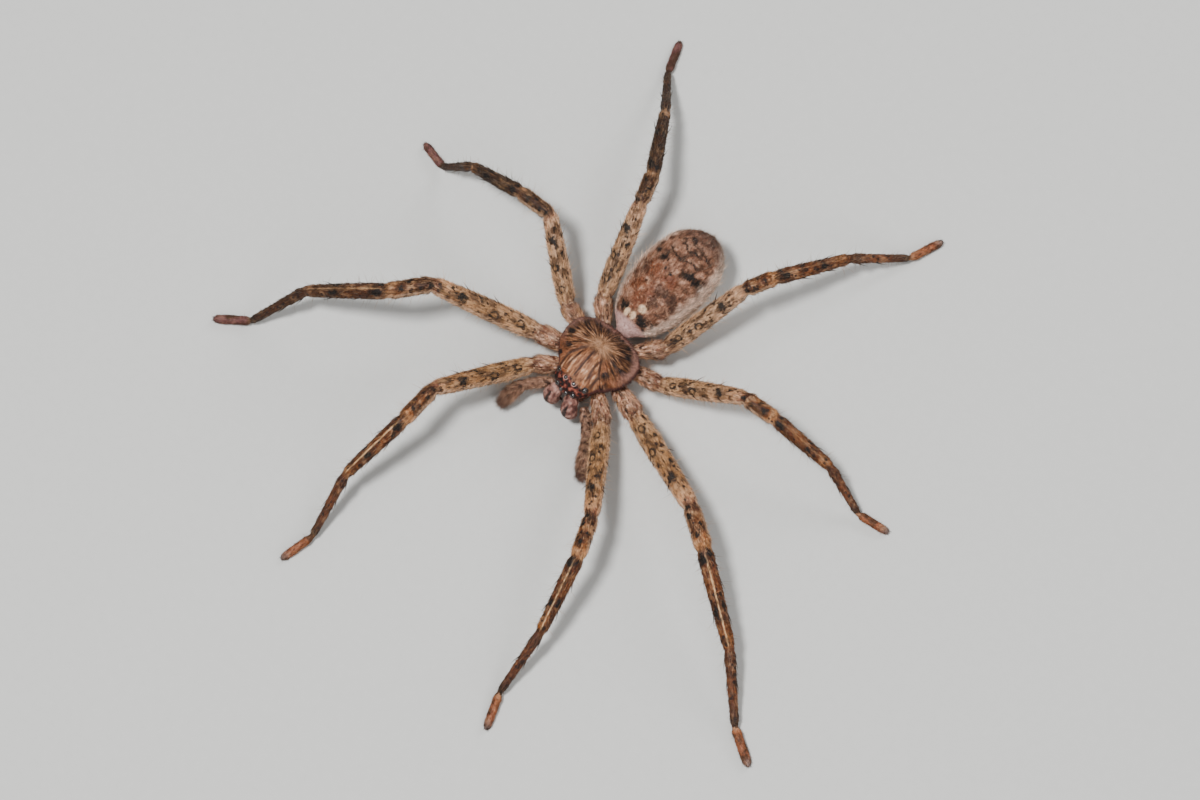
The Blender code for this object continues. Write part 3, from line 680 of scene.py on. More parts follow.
def marked(tree, kind):
    """The colour of a skin and of the hair on it, deepened as a dense dry coat is."""
    skin = Markings(tree)
    COLOURS[kind](skin)
    return skin.add("Gamma", {"Color": skin.colour, "Gamma": DEEPEN})


def skin_material(kind):
    """Waxed cuticle under short lying hair: dull, with fine streaks along the part as bump."""

    def paint(tree):
        marks = add_node(tree, "UVMap", uv_map="Marks")
        # Hairs 0.05 mm apart are drawn 0.12 mm apart, or they would not show
        streaks = add_node(tree, "VectorMath", {0: marks, 1: (90, 60, 0)}, operation="MULTIPLY")
        streaks = add_node(tree, "TexNoise", {"Vector": streaks, "Scale": 1.0, "Detail": 3.0})
        bump = add_node(tree, "Bump", {"Strength": 0.6, "Distance": 0.06 * MM, "Height": streaks})
        return {"Base Color": marked(tree, kind), "Normal": bump}

    name = f"{kind} cuticle under short lying hair"
    return new_material(name, paint, Roughness=0.62, Specular_IOR_Level=0.35)


def coat_material(kind, finish="hair", tips=0.12, pale=1.0, deep=0.45):
    """Fine hair, coloured as the skin at its root: some hairs are pale, some dark, and all have pale tips."""

    def paint(tree):
        shade = add_node(tree, "Attribute", attribute_name="shade", out=2)
        value = add_node(tree, "ValToRGB", {0: shade}, stops=((0, 0.2), (0.2, 0.36), (0.7, 0.5), (0.8, 1)))
        value = add_node(tree, "MapRange", {0: value, 1: 0.2, 3: deep, 4: 0.8 + pale})
        colour = {"Color": marked(tree, kind), "Value": value, "Saturation": 1.08}
        colour = add_node(tree, "HueSaturation", colour)
        tip = add_node(tree, "Attribute", attribute_name="tip", out=2)
        tip = add_node(tree, "MapRange", {0: tip, 1: 0.1, 4: tips})
        layers = {FACTOR: tip, UNDER: colour, OVER: "#DCC6AC"}
        return {"Base Color": add_node(tree, "Mix", layers, MIXED, data_type="RGBA")}

    return new_material(f"{kind} {finish}", paint, Roughness=0.5, Specular_IOR_Level=0.4)


def horn_material(name, colour, roughness):
    """Hard bare chitin, as on spines and claws: dark, smooth and glossy, a little uneven in shade."""

    def paint(tree):
        place = add_node(tree, "Attribute", attribute_name="place", out=1)
        grain = add_node(tree, "TexNoise", {"Vector": place, "Scale": 3.0, "Detail": 3.0})
        value = add_node(tree, "MapRange", {0: grain, 3: 0.5, 4: 1.6})
        return {"Base Color": add_node(tree, "HueSaturation", {"Color": colour, "Value": value})}

    return new_material(name, paint, Roughness=roughness, Specular_IOR_Level=0.5)


# Shapes


def read(items, name, width, kind=np.float32):
    """One property of all of a mesh's items, as rows."""
    values = np.empty(len(items) * width, kind)
    items.foreach_get(name, values)
    return values.reshape(-1, width)


def store(items, name, values, kind=np.float32):
    """Sets one property of all of a mesh's items."""
    items.foreach_set(name, np.asarray(values, kind).ravel())


def finish(mesh, material):
    """Turns a mesh from the spider's millimetres to the frame, smooth and with its material."""
    mesh.transform(TO_FRAME)
    mesh.shade_smooth()
    mesh.materials.append(material)
    return mesh


def add_piece(name, forms, material, nodes=()):
    """Puts forms made in the spider's millimetres into the frame as one piece."""
    mesh = bpy.data.meshes.new(name)
    joined = bmesh.new()
    for form in forms:
        form.to_mesh(mesh)
        joined.from_mesh(mesh)
        form.free()
    joined.to_mesh(mesh)
    joined.free()
    store(mesh.attributes.new("place", "FLOAT_VECTOR", "POINT").data, "vector", read(mesh.vertices, "co", 3))
    return settle(bpy.data.objects.new(name, finish(mesh, material)), nodes)


def settle(piece, nodes):
    """Links a piece, rides it on the body and hides the nodes it stands for."""
    bpy.context.scene.collection.objects.link(piece)
    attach(piece, "root")
    if nodes:
        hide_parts(*nodes)
    return piece


def wrapped(rings, around, place, along=None):
    """A closed skin: a grid rolled up round its own line, with its unwrap kept as the map Marks.

    place(ring, turn) gives each point, where the turn runs from -pi to pi and 0 is on top.
    along(ring) gives the map's u where it isn't even.
    """
    form = bmesh.new()
    marks = form.loops.layers.uv.new("Marks")
    bmesh.ops.create_grid(form, x_segments=rings, y_segments=around, size=0.5, calc_uvs=True)
    if along:
        for face in form.faces:
            for loop in face.loops:
                loop[marks].uv.x = along(round(loop[marks].uv.x * rings))
    for vert in form.verts:
        vert.co = place(round((vert.co.x + 0.5) * rings), vert.co.y * math.tau)
    bmesh.ops.remove_doubles(form, verts=form.verts, dist=WELD)
    bmesh.ops.recalc_face_normals(form, faces=form.faces)
    return form


def smoothed(values, passes):
    """Evens out a row of values or points, with its two ends kept."""
    for _ in range(passes):
        middle = (values[:-2] + 2 * values[1:-1] + values[2:]) / 4
        values = np.concatenate((values[:1], middle, values[-1:]))
    return values


def frames_of(points, sign):
    """The rearward and upward directions at each point of a line that runs outwards."""
    ways = np.gradient(points, axis=0)
    ways /= np.linalg.norm(ways, axis=1, keepdims=True)
    rears = np.cross((0, 0, 1), ways) * sign
    rears /= np.linalg.norm(rears, axis=1, keepdims=True)
    tops = np.cross(ways, rears) * sign
    return ways, rears, tops


def tube_along(points, radii, around, sign=1, along=None, low=None):
    """A closed round skin along a line of points, kept above a height if one is given."""
    ways, rears, tops = frames_of(points, sign)

    def place(ring, turn):
        out = rears[ring] * math.sin(turn) + tops[ring] * math.cos(turn)
        point = points[ring] + out * radii[ring]
        if low is not None:
            point[2] = max(point[2], low)
        return point

    return wrapped(len(points) - 1, around, place, along)


def lobe(centre, radii, around=24):
    """An egg shape with its own Marks, u from front to rear."""

    def place(ring, turn):
        swing = math.pi * ring / around
        out = math.sin(swing)
        x = centre[0] + radii[0] * out * math.sin(turn)
        y = centre[1] - radii[1] * math.cos(swing)
        return Vector((x, y, centre[2] + radii[2] * out * math.cos(turn)))

    return wrapped(around, around, place)


def resampled(points, radii, count, depth):
    """A smooth line of points and radii through a few of them, with round ends that close."""
    points = np.array(points, float)
    steps = np.concatenate(((0,), np.cumsum(np.linalg.norm(np.diff(points, axis=0), axis=1))))
    share = (1 - np.cos(np.linspace(0, math.pi, count + 1))) / 2
    at = share * steps[-1]
    line = np.stack([np.interp(at, steps, points[:, i]) for i in range(3)], axis=1)
    line = smoothed(line, count // 3)
    size = smoothed(np.interp(at, steps, radii), count // 6) - depth
    ends = np.minimum(at, steps[-1] - at)
    blunt = np.clip(ends / (size * 0.8), 0, 1)
    return line, size * np.sqrt(1 - (1 - blunt) ** 2)


def spike(sides, cuts=()):
    """One spike of unit length and radius, as arrays of its points and triangles, to be set many times."""
    form = bmesh.new()
    bmesh.ops.create_cone(form, segments=sides, cap_ends=True, radius1=1, radius2=0, depth=1)
    bmesh.ops.remove_doubles(form, verts=form.verts, dist=WELD)
    bmesh.ops.translate(form, verts=form.verts, vec=(0, 0, 0.5))
    for cut in cuts:
        everything = form.verts[:] + form.edges[:] + form.faces[:]
        bmesh.ops.bisect_plane(form, geom=everything, dist=WELD, plane_co=(0, 0, cut), plane_no=(0, 0, 1))
    bmesh.ops.recalc_face_normals(form, faces=form.faces)
    bmesh.ops.triangulate(form, faces=form.faces)
    form.verts.index_update()
    points = np.array([vert.co for vert in form.verts])
    faces = np.array([[vert.index for vert in face.verts] for face in form.faces])
    form.free()
    return points, faces


def roots_on(skin, count, draw, chance):
    """Random places on a skin, each with its normal, the way the hair lies there and its Marks."""
    mesh = skin.data
    mesh.calc_loop_triangles()
    loops = read(mesh.loop_triangles, "loops", 3, np.int32)
    verts = read(mesh.loop_triangles, "vertices", 3, np.int32)
    corners = read(mesh.attributes["place"].data, "vector", 3)[verts].astype(float)
    normals = read(mesh.vertex_normals, "vector", 3)[verts]
    marks = read(mesh.uv_layers["Marks"].uv, "vector", 2)[loops].astype(float)
    first, second = corners[:, 1] - corners[:, 0], corners[:, 2] - corners[:, 0]
    one, two = marks[:, 1] - marks[:, 0], marks[:, 2] - marks[:, 0]
    turn = one[:, 0] * two[:, 1] - two[:, 0] * one[:, 1]
    whole = np.abs(turn) > 1e-9
    turn = np.where(whole, turn, 1)[:, None]
    lies = (first * two[:, 1:] - second * one[:, 1:]) / turn
    middles = marks.mean(axis=1)
    odds = np.linalg.norm(np.cross(first, second), axis=1) * whole
    odds *= np.clip(chance(middles[:, 0], middles[:, 1], corners.mean(axis=1)), 0, None)
    picked = draw.choice(len(loops), count, p=odds / odds.sum())
    share = draw.dirichlet((1, 1, 1), count)[:, :, None]
    found = [(values[picked] * share).sum(axis=1) for values in (corners, normals, marks)]
    return (*found, lies[picked])


def unit(vectors):
    """Vectors of length one."""
    return vectors / np.maximum(np.linalg.norm(vectors, axis=1, keepdims=True), 1e-9)


def grow(name, batches, material):
    """Sets spikes on their roots as one joined mesh, with the maps and attributes its material reads.

    Each batch is a spike, then arrays: roots, normals, lies, marks, lengths, radii, leans, spreads,
    bends and shades, with one row for each hair.
    """
    placed, told, faces, before = [], [], [], 0
    for (points, triangles), *rows in batches:
        roots, normals, lies, marks, lengths, radii, leans, spreads, bends, shades = rows
        normals = unit(normals)
        lies = unit(lies - normals * (lies * normals).sum(axis=1, keepdims=True))
        sides = np.cross(normals, lies)
        heads = lies * np.cos(spreads)[:, None] + sides * np.sin(spreads)[:, None]
        across = np.cross(normals, heads)
        ways = normals * np.cos(leans)[:, None] + heads * np.sin(leans)[:, None]
        bent = (heads * np.cos(leans)[:, None] - normals * np.sin(leans)[:, None]) * bends[:, None]
        third = np.cross(ways, across)
        rise = np.maximum((ways + bent)[:, 2] * lengths, 1e-6)
        lengths = lengths * np.clip((HAIR_TOP - roots[:, 2]) / rise, 0.25, 1)
        x, y, z = (points[:, i][None, :, None] for i in range(3))
        wide, long = radii[:, None, None], lengths[:, None, None]
        hairs = roots[:, None] + long * (ways[:, None] * z + bent[:, None] * z * z)
        hairs = hairs + wide * (across[:, None] * x + third[:, None] * y)
        hairs[:, :, 2] = np.maximum(hairs[:, :, 2], HAIR_FLOOR)
        count, size = len(roots), len(points)
        each = np.repeat(np.concatenate((roots, marks, shades[:, None]), axis=1), size, axis=0)
        told.append(np.concatenate((each, np.tile(points, (count, 1))), axis=1))
        placed.append(hairs.reshape(-1, 3))
        numbers = np.arange(count)[:, None, None] * size + triangles[None] + before
        faces.append(numbers.reshape(-1, 3))
        before += count * size
    placed, told, faces = (np.concatenate(values) for values in (placed, told, faces))
    mesh = bpy.data.meshes.new(name)
    mesh.vertices.add(len(placed))
    store(mesh.vertices, "co", placed)
    mesh.loops.add(faces.size)
    store(mesh.loops, "vertex_index", faces, np.int32)
    mesh.polygons.add(len(faces))
    store(mesh.polygons, "loop_start", np.arange(0, faces.size, 3), np.int32)
    mesh.update(calc_edges=True)
    store(mesh.attributes.new("place", "FLOAT_VECTOR", "POINT").data, "vector", told[:, :3])
    store(mesh.attributes.new("shade", "FLOAT", "POINT").data, "value", told[:, 5])
    store(mesh.attributes.new("tip", "FLOAT", "POINT").data, "value", told[:, 8])
    # The bake gets a small patch for each hair, round its root's place on the skin's own unwrap
    corner = told[faces.ravel()]
    marks = corner[:, 3:5]
    patch = np.stack((0.5 + 0.45 * corner[:, 6], 0.1 + 0.8 * corner[:, 8] + 0.09 * corner[:, 7]), axis=1)
    baked = np.clip(marks, BAKE_PATCH, 1 - BAKE_PATCH) + (patch - 0.5) * BAKE_PATCH
    for layer, values in (("Marks", marks), ("OFBake", baked)):
        store(mesh.uv_layers.new(name=layer).uv, "vector", values)
    return finish(mesh, material)


HAIR = spike(3)
BRISTLE = spike(3, (0.35, 0.7))
THORN = spike(7, (0.2, 0.45, 0.7, 0.88))


def tufts(skin, kind, seed, chance, scale=None, share=1.0, template=HAIR, lie=None):
    """One batch of hairs for grow(), rooted on a skin by the rule of its kind of coat."""
    settings = bpy.context.scene.spider
    count, hairs, length, radius, lean, spread, bend = COATS[kind]
    draw = np.random.default_rng(seed)
    count = max(8, round(count * settings.hair_density * share))
    found = roots_on(skin, count, draw, chance)
    roots, normals, marks, lies = (np.repeat(values, hairs, axis=0) for values in found)
    number = len(roots)
    if lie:
        lies = np.broadcast_to(np.array(lie, float), lies.shape)
    varied = draw.normal(size=(4, number))
    size = length * settings.hair_length * np.clip(1 + 0.22 * varied[0], 0.5, 1.6)
    if scale:
        size = size * scale(marks[:, 0], marks[:, 1], roots)
    roots = roots + draw.normal(size=(number, 3)) * 0.03 - unit(normals) * 0.03
    leans = np.radians(np.clip(lean + 9 * varied[1], 5, 86))
    spreads = np.radians(spread * varied[2])
    bends = bend * (1 + 0.4 * varied[3])
    shades = np.clip(np.repeat(draw.random(count), hairs) + 0.1 * varied[0], 0, 1)
    radii = np.full(number, radius)
    return template, roots, normals, lies, marks, size, radii, leans, spreads, bends, shades


def add_coat(name, batches, material):
    """One coat piece."""
    return settle(bpy.data.objects.new(name, grow(name, batches, material)), ())


# Legs


def coat_depth():
    """How far a skin lies inside its solid, in millimetres."""
    return bpy.context.scene.spider.coat_depth / MM


def everywhere(u, v, at):
    """The same chance of hair all over a skin."""
    return np.ones(len(u))


def leg_joints(side, pair):
    """The joints of a leg, from the coxa's root to the claws."""
    sign = SIDES[side]
    (root_x, root_y), (hip_x, hip_y) = COXA_ROOTS[pair], HIPS[pair]
    joints = [Vector((sign * root_x, root_y, COXA_HEIGHT)), Vector((sign * hip_x, hip_y, HIP_HEIGHT))]
    lifts = (FEMUR_LIFT[side][pair], PATELLA_LIFT, TIBIA_LIFT[side][pair], None, None)
    ends = (None, None, None, ANKLE_HEIGHT, TOE_HEIGHT)
    for length, heading, lift, end in zip(LEG_LENGTHS[pair], HEADINGS[side][pair], lifts, ends):
        rise = length * math.sin(math.radians(lift)) if end is None else end - joints[-1].z
        run = math.sqrt(length * length - rise * rise)
        turn = math.radians(heading)
        joints.append(joints[-1] + Vector((sign * run * math.cos(turn), run * math.sin(turn), rise)))
    return joints


def leg_skin(side, pair, depth):
    """One skin from the coxa to the tip of the tarsus, pinched at the joints and lipped beside them."""
    joints = leg_joints(side, pair)
    centres, radii, stations = [], [], []
    lengths = list(zip(LEG_RINGS, joints, joints[1:]))
    for number, (name, near, far) in enumerate(lengths):
        size = (far - near).length
        for ring in range(LENGTH_RINGS + (number == len(lengths) - 1)):
            q = ring / LENGTH_RINGS
            share = q / 2 + (1 - math.cos(math.pi * q)) / 4
            radius = between(LEG_RINGS[name], share) * LEG_GIRTH[pair] - depth
            starts, ends = share * size, (1 - share) * size
            for gap in ([starts] if number else []) + ([ends] if number < len(lengths) - 1 else []):
                radius -= JOINT_PINCH[0] * bell(gap, JOINT_PINCH[1])
                radius += JOINT_LIP[0] * bell(gap - JOINT_LIP[1], JOINT_LIP[2])
            centres.append(near.lerp(far, share))
            radii.append(radius)
            stations.append((number + share) / len(lengths))
    centres = smoothed(np.array(centres), 5)
    radii = smoothed(np.array(radii), 1)
    reach = np.linalg.norm(centres - centres[-1], axis=1)
    blunt = np.clip(reach / 0.35, 0, 1)
    radii *= np.sqrt(1 - (1 - blunt) ** 2)
    radii[0] = 0
    return tube_along(centres, radii, LEG_AROUND, SIDES[side], lambda ring: stations[ring], 0.02)


def spine_batch(side, pair, radius):
    """The spines of a leg, each rooted in the skin where its solid is."""
    rows = []
    joints = leg_joints(side, pair)
    names = tuple(LEG_RINGS)
    for length in SPINE_ROWS:
        number = names.index(length)
        near, far = joints[number], joints[number + 1]
        draw = random.Random(f"{length} {side} {pair}")
        along = (far - near).normalized()
        rear = Vector((0, 0, 1)).cross(along).normalized() * SIDES[side]
        top = along.cross(rear).normalized() * SIDES[side]
        for share, turn in SPINE_ROWS[length]:
            if length == "femur" and share < 0.6 and turn * CROWDED.get(pair, 0) > 30:
                continue
            share += draw.uniform(-1, 1) * SPINE_VARIES["place"]
            angle = math.radians(turn + draw.uniform(-1, 1) * SPINE_VARIES["turn"])
            out = top * math.cos(angle) + rear * math.sin(angle)
            girth = between(LEG_RINGS[length], share) * LEG_GIRTH[pair]
            root = near.lerp(far, share) + out * girth * SPINE_ROOT
            lean = math.radians(SPINE_LEAN[length] + draw.uniform(-1, 1) * SPINE_VARIES["lean"])
            size = SPINE_LENGTH[length] * (1 + draw.uniform(-1, 1) * SPINE_VARIES["length"])
            rows.append((*root, *out, *along, (number + share) / STATIONS, 0.5, size * 0.9 + 0.2, lean))
    rows = np.array(rows)
    roots, outs, alongs, marks, sizes, leans = np.split(rows, (3, 6, 9, 11, 12), axis=1)
    sizes, leans = sizes[:, 0], leans[:, 0]
    one = np.ones(len(rows))
    return THORN, roots, outs, alongs, marks, sizes, one * radius, leans, one * 0, one * SPINE_BEND, one * 0


def claw_batch(side, pair):
    """Two curved claws at the tip of a tarsus."""
    joints = leg_joints(side, pair)
    along = (joints[-1] - joints[-2]).normalized()
    across = Vector((0, 0, 1)).cross(along).normalized()
    start = joints[-1] - along * CLAW_SET_BACK
    roots = np.array([start + across * shift + Vector((0, 0, 0.12)) for shift in (-0.14, 0.14)])
    ups = np.array([(0, 0, 1.0)] * 2)
    marks = np.array([(0.99, 0.5)] * 2)
    ahead = np.array([along + across * shift for shift in (-0.25, 0.25)])
    one = np.ones(2)
    size, width, lean = one * CLAW_LENGTH, one * CLAW_RADIUS, one * math.radians(CLAW_LEAN)
    return THORN, roots, ups, ahead, marks, size, width, lean, one * 0, one * CLAW_BEND, one * 0


def build_leg(side, pair):
    """The skin, coat, spines and claws of one leg."""
    settings = bpy.context.scene.spider
    label = f"leg{pair + 1}_{side}"
    nodes = [f"{label}_{part}" for part in LEG_PARTS]
    forms = [leg_skin(side, pair, coat_depth())]
    skin = add_piece(label + "_skin", forms, skin_material("leg"), nodes)
    seed = 10 * pair + (side == "left")

    def shown(u, v, at):
        station = u * STATIONS
        return np.clip((station - 0.35) * 4, 0.05, 1) + np.where((station > 0.4) & (station < 1), 0.35, 0)

    def lengths(u, v, at):
        return np.interp(u * STATIONS, range(STATIONS + 1), (1.7, 1.2, 1.0, 0.95, 0.8, 0.55, 0.45))

    def longer(u, v, at):
        return np.interp(u * STATIONS, range(STATIONS + 1), (0.8, 1.0, 1.1, 1.15, 1.0, 0.55, 0.4))

    def sole(u, v, at):
        return np.clip((u * STATIONS - 4.95) * 8, 0, 1) * (0.35 + np.abs(v - 0.5) * 2)

    batches = [
        tufts(skin, "leg", seed, shown, lengths, sum(LEG_LENGTHS[pair]) / COATED_LENGTH),
        tufts(skin, "tarsus brush", seed + 100, sole),
    ]
    add_coat(label + "_coat", batches, coat_material("leg"))
    bristles = [tufts(skin, "leg bristle", seed + 200, shown, longer, template=BRISTLE)]
    add_coat(label + "_bristles", bristles, coat_material("leg", "bristle", 0.7))
    chitin = horn_material("dark chitin of spines and claws", settings.spine_colour, 0.3)
    hard = [spine_batch(side, pair, settings.spine_radius / MM), claw_batch(side, pair)]
    add_coat(label + "_spines_and_claws", hard, chitin)


# Body


def section_point(y, share, turn, blunt, half_width, top, level, bottom, depth):
    """A point of a body whose cross sections are half ovals above and below its widest level."""
    full = math.sqrt(max(0.0, 1 - abs(share) ** blunt))
    up, across = math.cos(turn), math.sin(turn)
    middle = between(level, y)
    rise = between(top if up > 0 else bottom, y) - middle
    low = max(0.0, abs(rise) * full - depth) * (1 if rise > 0 else -1)
    wide = max(0.0, between(half_width, y) * full - depth)
    return Vector((wide * across, y, middle + low * abs(up)))


def abdomen_relief(x, y):
    """How much the top of the abdomen sinks at its muscle spots and rear folds."""
    sunk = 0.0
    for spot_x, spot_y, size in ((1.35, 8.8, 0.45), (1.8, 12.15, 0.5)):
        for sign in SIDES.values():
            sunk += 0.16 * bell(math.hypot(x - sign * spot_x, y - spot_y), size)
    for middle, reach, slope in ABDOMEN_CHEVRONS:
        sunk += 0.09 * bell(y - middle - slope * abs(x), 0.22) * bell(x, reach)
    return sunk


def abdomen_skin(depth):
    """The abdomen with its pedicel, turned a little about its waist."""
    low, high = ABDOMEN_Y

    def place(ring, turn):
        share = -math.cos(math.pi * ring / ABDOMEN_RINGS)
        y = low + (high - low) * (share + 1) / 2
        sections = (ABDOMEN_HALF_WIDTH, ABDOMEN_TOP, ABDOMEN_LEVEL, ABDOMEN_BOTTOM)
        point = section_point(y, share, turn, 4, *sections, depth)
        if math.cos(turn) > 0:
            point.z -= abdomen_relief(point.x, y) * math.cos(turn)
        wrinkle = 0.05 * noise.noise(Vector((point.x * 0.9, y * 1.6, point.z * 2.4)))
        return point + Vector((math.sin(turn), 0, math.cos(turn))) * wrinkle

    def along(ring):
        return (1 - math.cos(math.pi * ring / ABDOMEN_RINGS)) / 2

    body = wrapped(ABDOMEN_RINGS, ABDOMEN_AROUND, place, along)
    waist = tube_along(*resampled(PEDICEL, PEDICEL_RADII, 24, 0), 28, along=lambda ring: 0.001 * (ring + 1))
    return turned_back([body, waist])


def turned_back(forms):
    """Turns forms about the abdomen's waist, as far as the abdomen itself."""
    turned = Matrix.Rotation(math.radians(-ABDOMEN_TURN), 4, "Z")
    waist = Matrix.Translation((0, ABDOMEN_Y[0], 0))
    for form in forms:
        bmesh.ops.transform(form, verts=form.verts, matrix=waist @ turned @ waist.inverted())
    return forms


def spinneret_skins():
    """Two pairs of spinnerets of two segments each, on a common base."""
    forms = [lobe((0, 17.4, 3.2), (0.95, 0.7, 0.8), 16)]
    for x, y, z in SPINNERETS:
        for sign in SIDES.values():
            path = ((sign * x * 0.8, y, z), (sign * x, y + 0.6, z - 0.1), (sign * x * 1.1, y + 1.0, z - 0.2))
            forms.append(tube_along(*resampled(path, SPINNERET_RADII, 14, 0), 14))
    return turned_back(forms)


def build_abdomen():
    """Skin and coat of the abdomen and the spinnerets."""
    forms = abdomen_skin(coat_depth())
    skin = add_piece("abdomen_skin", forms, skin_material("abdomen"), ("abdomen",))

    def even(u, v, at):
        return np.where(at[:, 1] < 4.6, 1.8, 1.0)

    def lengths(u, v, at):
        fringe = 0.9 + 0.5 * np.clip((np.abs(v - 0.5) - 0.15) * 5, 0, 1)
        return fringe * np.clip((at[:, 1] - 3.2) / 2.2, 0.45, 1)

    def fringe(u, v, at):
        return np.clip((np.abs(v - 0.5) - 0.16) * 8, 0.15, 1) * np.clip((u - 0.2) * 5, 0, 1)

    coat = [tufts(skin, "abdomen", 301, even, lengths)]
    add_coat("abdomen_coat", coat, coat_material("abdomen", deep=0.56))
    bristles = [tufts(skin, "abdomen bristle", 302, fringe, template=BRISTLE)]
    add_coat("abdomen_bristles", bristles, coat_material("abdomen", "bristle", 0.95))
    forms = spinneret_skins()
    tips = add_piece("spinnerets_skin", forms, skin_material("belly"), ("spinnerets",))
    coat = [tufts(tips, "spinneret", 303, everywhere)]
    add_coat("spinnerets_coat", coat, coat_material("belly"))


def shell_width(y):
    """Half the carapace's width at a place along it."""
    low, high = CARAPACE_Y
    share = 2 * (y - low) / (high - low) - 1
    full = math.sqrt(max(0.0, 1 - abs(share) ** 6))
    return between(CARAPACE_HALF_WIDTH, y) * full, full


def shell_height(x, y):
    """The height of the carapace's smooth top."""
    wide, full = shell_width(y)
    if wide <= abs(x):
        return CARAPACE_RIM
    rise = (between(CARAPACE_TOP, y) - CARAPACE_RIM) * full
    return CARAPACE_RIM + rise * math.sqrt(1 - (x / wide) ** 2)


def from_fovea(reach, turn):
    """The place at a distance from the fovea, in a direction where 0 is straight back."""
    return FOVEA[0] + reach * math.sin(turn), FOVEA[1] + reach * math.cos(turn)


def shell_edge(turn):
    """How far the rim is from the fovea in a direction."""
    near, far = 0.0, 12.0
    for _ in range(24):
        reach = (near + far) / 2
        x, y = from_fovea(reach, turn)
        inside = CARAPACE_Y[0] < y < CARAPACE_Y[1] and abs(x) < shell_width(y)[0]
        near, far = (reach, far) if inside else (near, reach)
    return near


def shell_relief(x, y, eyes):
    """Grooves and swellings of the carapace, in millimetres above its smooth top."""
    dx, dy = x - FOVEA[0], y - FOVEA[1]
    reach = math.hypot(dx, dy)
    raised = -0.3 * bell(dx, 0.13) * bell(dy, 0.65)  # the fovea's slit
    angle = math.degrees(math.atan2(abs(dx), dy))
    for furrow in FURROWS:
        off = reach * math.sin(math.radians(min(90, abs(angle - furrow))))
        raised -= 0.14 * bell(off, 0.3) * bell(reach - 2.4, 1.3)
    groove = abs(abs(dx) - (0.25 - 0.62 * dy))  # off the groove beside the head
    raised -= 0.15 * bell(groove, 0.28) * bell(dy + 2.2, 1.5)
    raised += 0.08 * bell(dx, 1.6) * bell(dy + 4.2, 1.6)
    for centre, size in eyes:
        raised += 0.12 * bell(math.hypot(x - centre.x, y - centre.y), size * 1.5)
    return raised


def eye_places():
    """The middle and radius of each eye's solid, in millimetres, by name."""
    places = {}
    for kind in EYES:
        for side in SIDES:
            low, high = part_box(f"eye_{kind}_{side}")
            middle = TO_FRAME.inverted() @ ((low + high) / 2)
            places[f"{kind}_{side}"] = (middle, max(high - low) / MM / 2)
    return places


def carapace_shell(depth):
    """The shell: a sheet that runs from the fovea out to the rim and back under it."""
    under_rings = SHELL_RINGS - SHELL_TOP_RINGS
    eyes = list(eye_places().values())
    edges = {}

    def place(ring, turn):
        key = round(turn, 5)
        if key not in edges:
            edges[key] = shell_edge(turn) - depth
        if ring <= SHELL_TOP_RINGS:
            share = ring / SHELL_TOP_RINGS
            x, y = from_fovea(edges[key] * (1 - (1 - share) ** 1.5), turn)
            relief = shell_relief(x, y, eyes) * (1 - share**8)
            return Vector((x, y, shell_height(x, y) - depth * 0.8 + relief))
        share = (ring - SHELL_TOP_RINGS) / under_rings
        sink = min(1.0, share * 6)
        z = CARAPACE_RIM - depth * 0.8 - (CARAPACE_RIM - CARAPACE_UNDERSIDE) * sink
        return Vector((*from_fovea(edges[key] * (1 - share**1.6), turn), z))

    def along(ring):
        if ring <= SHELL_TOP_RINGS:
            return 0.8 * (1 - (1 - ring / SHELL_TOP_RINGS) ** 1.5)
        return 0.8 + 0.2 * (ring - SHELL_TOP_RINGS) / under_rings

    return wrapped(SHELL_RINGS, SHELL_AROUND, place, along)


def build_carapace():
    """The carapace's shell and its lying hair, which streams out from the fovea."""
    forms = [carapace_shell(coat_depth())]
    shell = add_piece("carapace_shell", forms, skin_material("carapace"), ("carapace",))
    eyes = [(np.array(middle), size) for middle, size in eye_places().values()]

    def clear(u, v, at):
        rim = (u >= 0.56) & (u < 0.82) & (at[:, 1] > -4.8)
        free = np.where(u < 0.84, 1.0, 0.0) + np.where(rim, 1.3, 0.0)
        for middle, size in eyes:
            free = free * (np.linalg.norm(at - middle, axis=1) > size * 1.3)
        head = (np.abs(at[:, 0]) < 0.35 - 0.62 * at[:, 1]) & (at[:, 1] < -1)
        return free * np.where(head, 0.4, 1) * np.where(at[:, 1] < -4.6, 4.0, 1)

    def lengths(u, v, at):
        short = np.where(at[:, 1] < -4.6, 0.75, 1.0)
        return np.clip((at[:, 1] + 6.2) / 5.2, 0.4, 1) * np.where(u > 0.66, 0.85, 1.0) * short

    coat = [tufts(shell, "carapace", 401, clear, lengths)]
    add_coat("carapace_coat", coat, coat_material("carapace", tips=0.04, pale=0.6, deep=0.56))
    bristles = [tufts(shell, "carapace bristle", 402, clear, template=BRISTLE)]
    add_coat("carapace_bristles", bristles, coat_material("carapace", "bristle", 0.3))


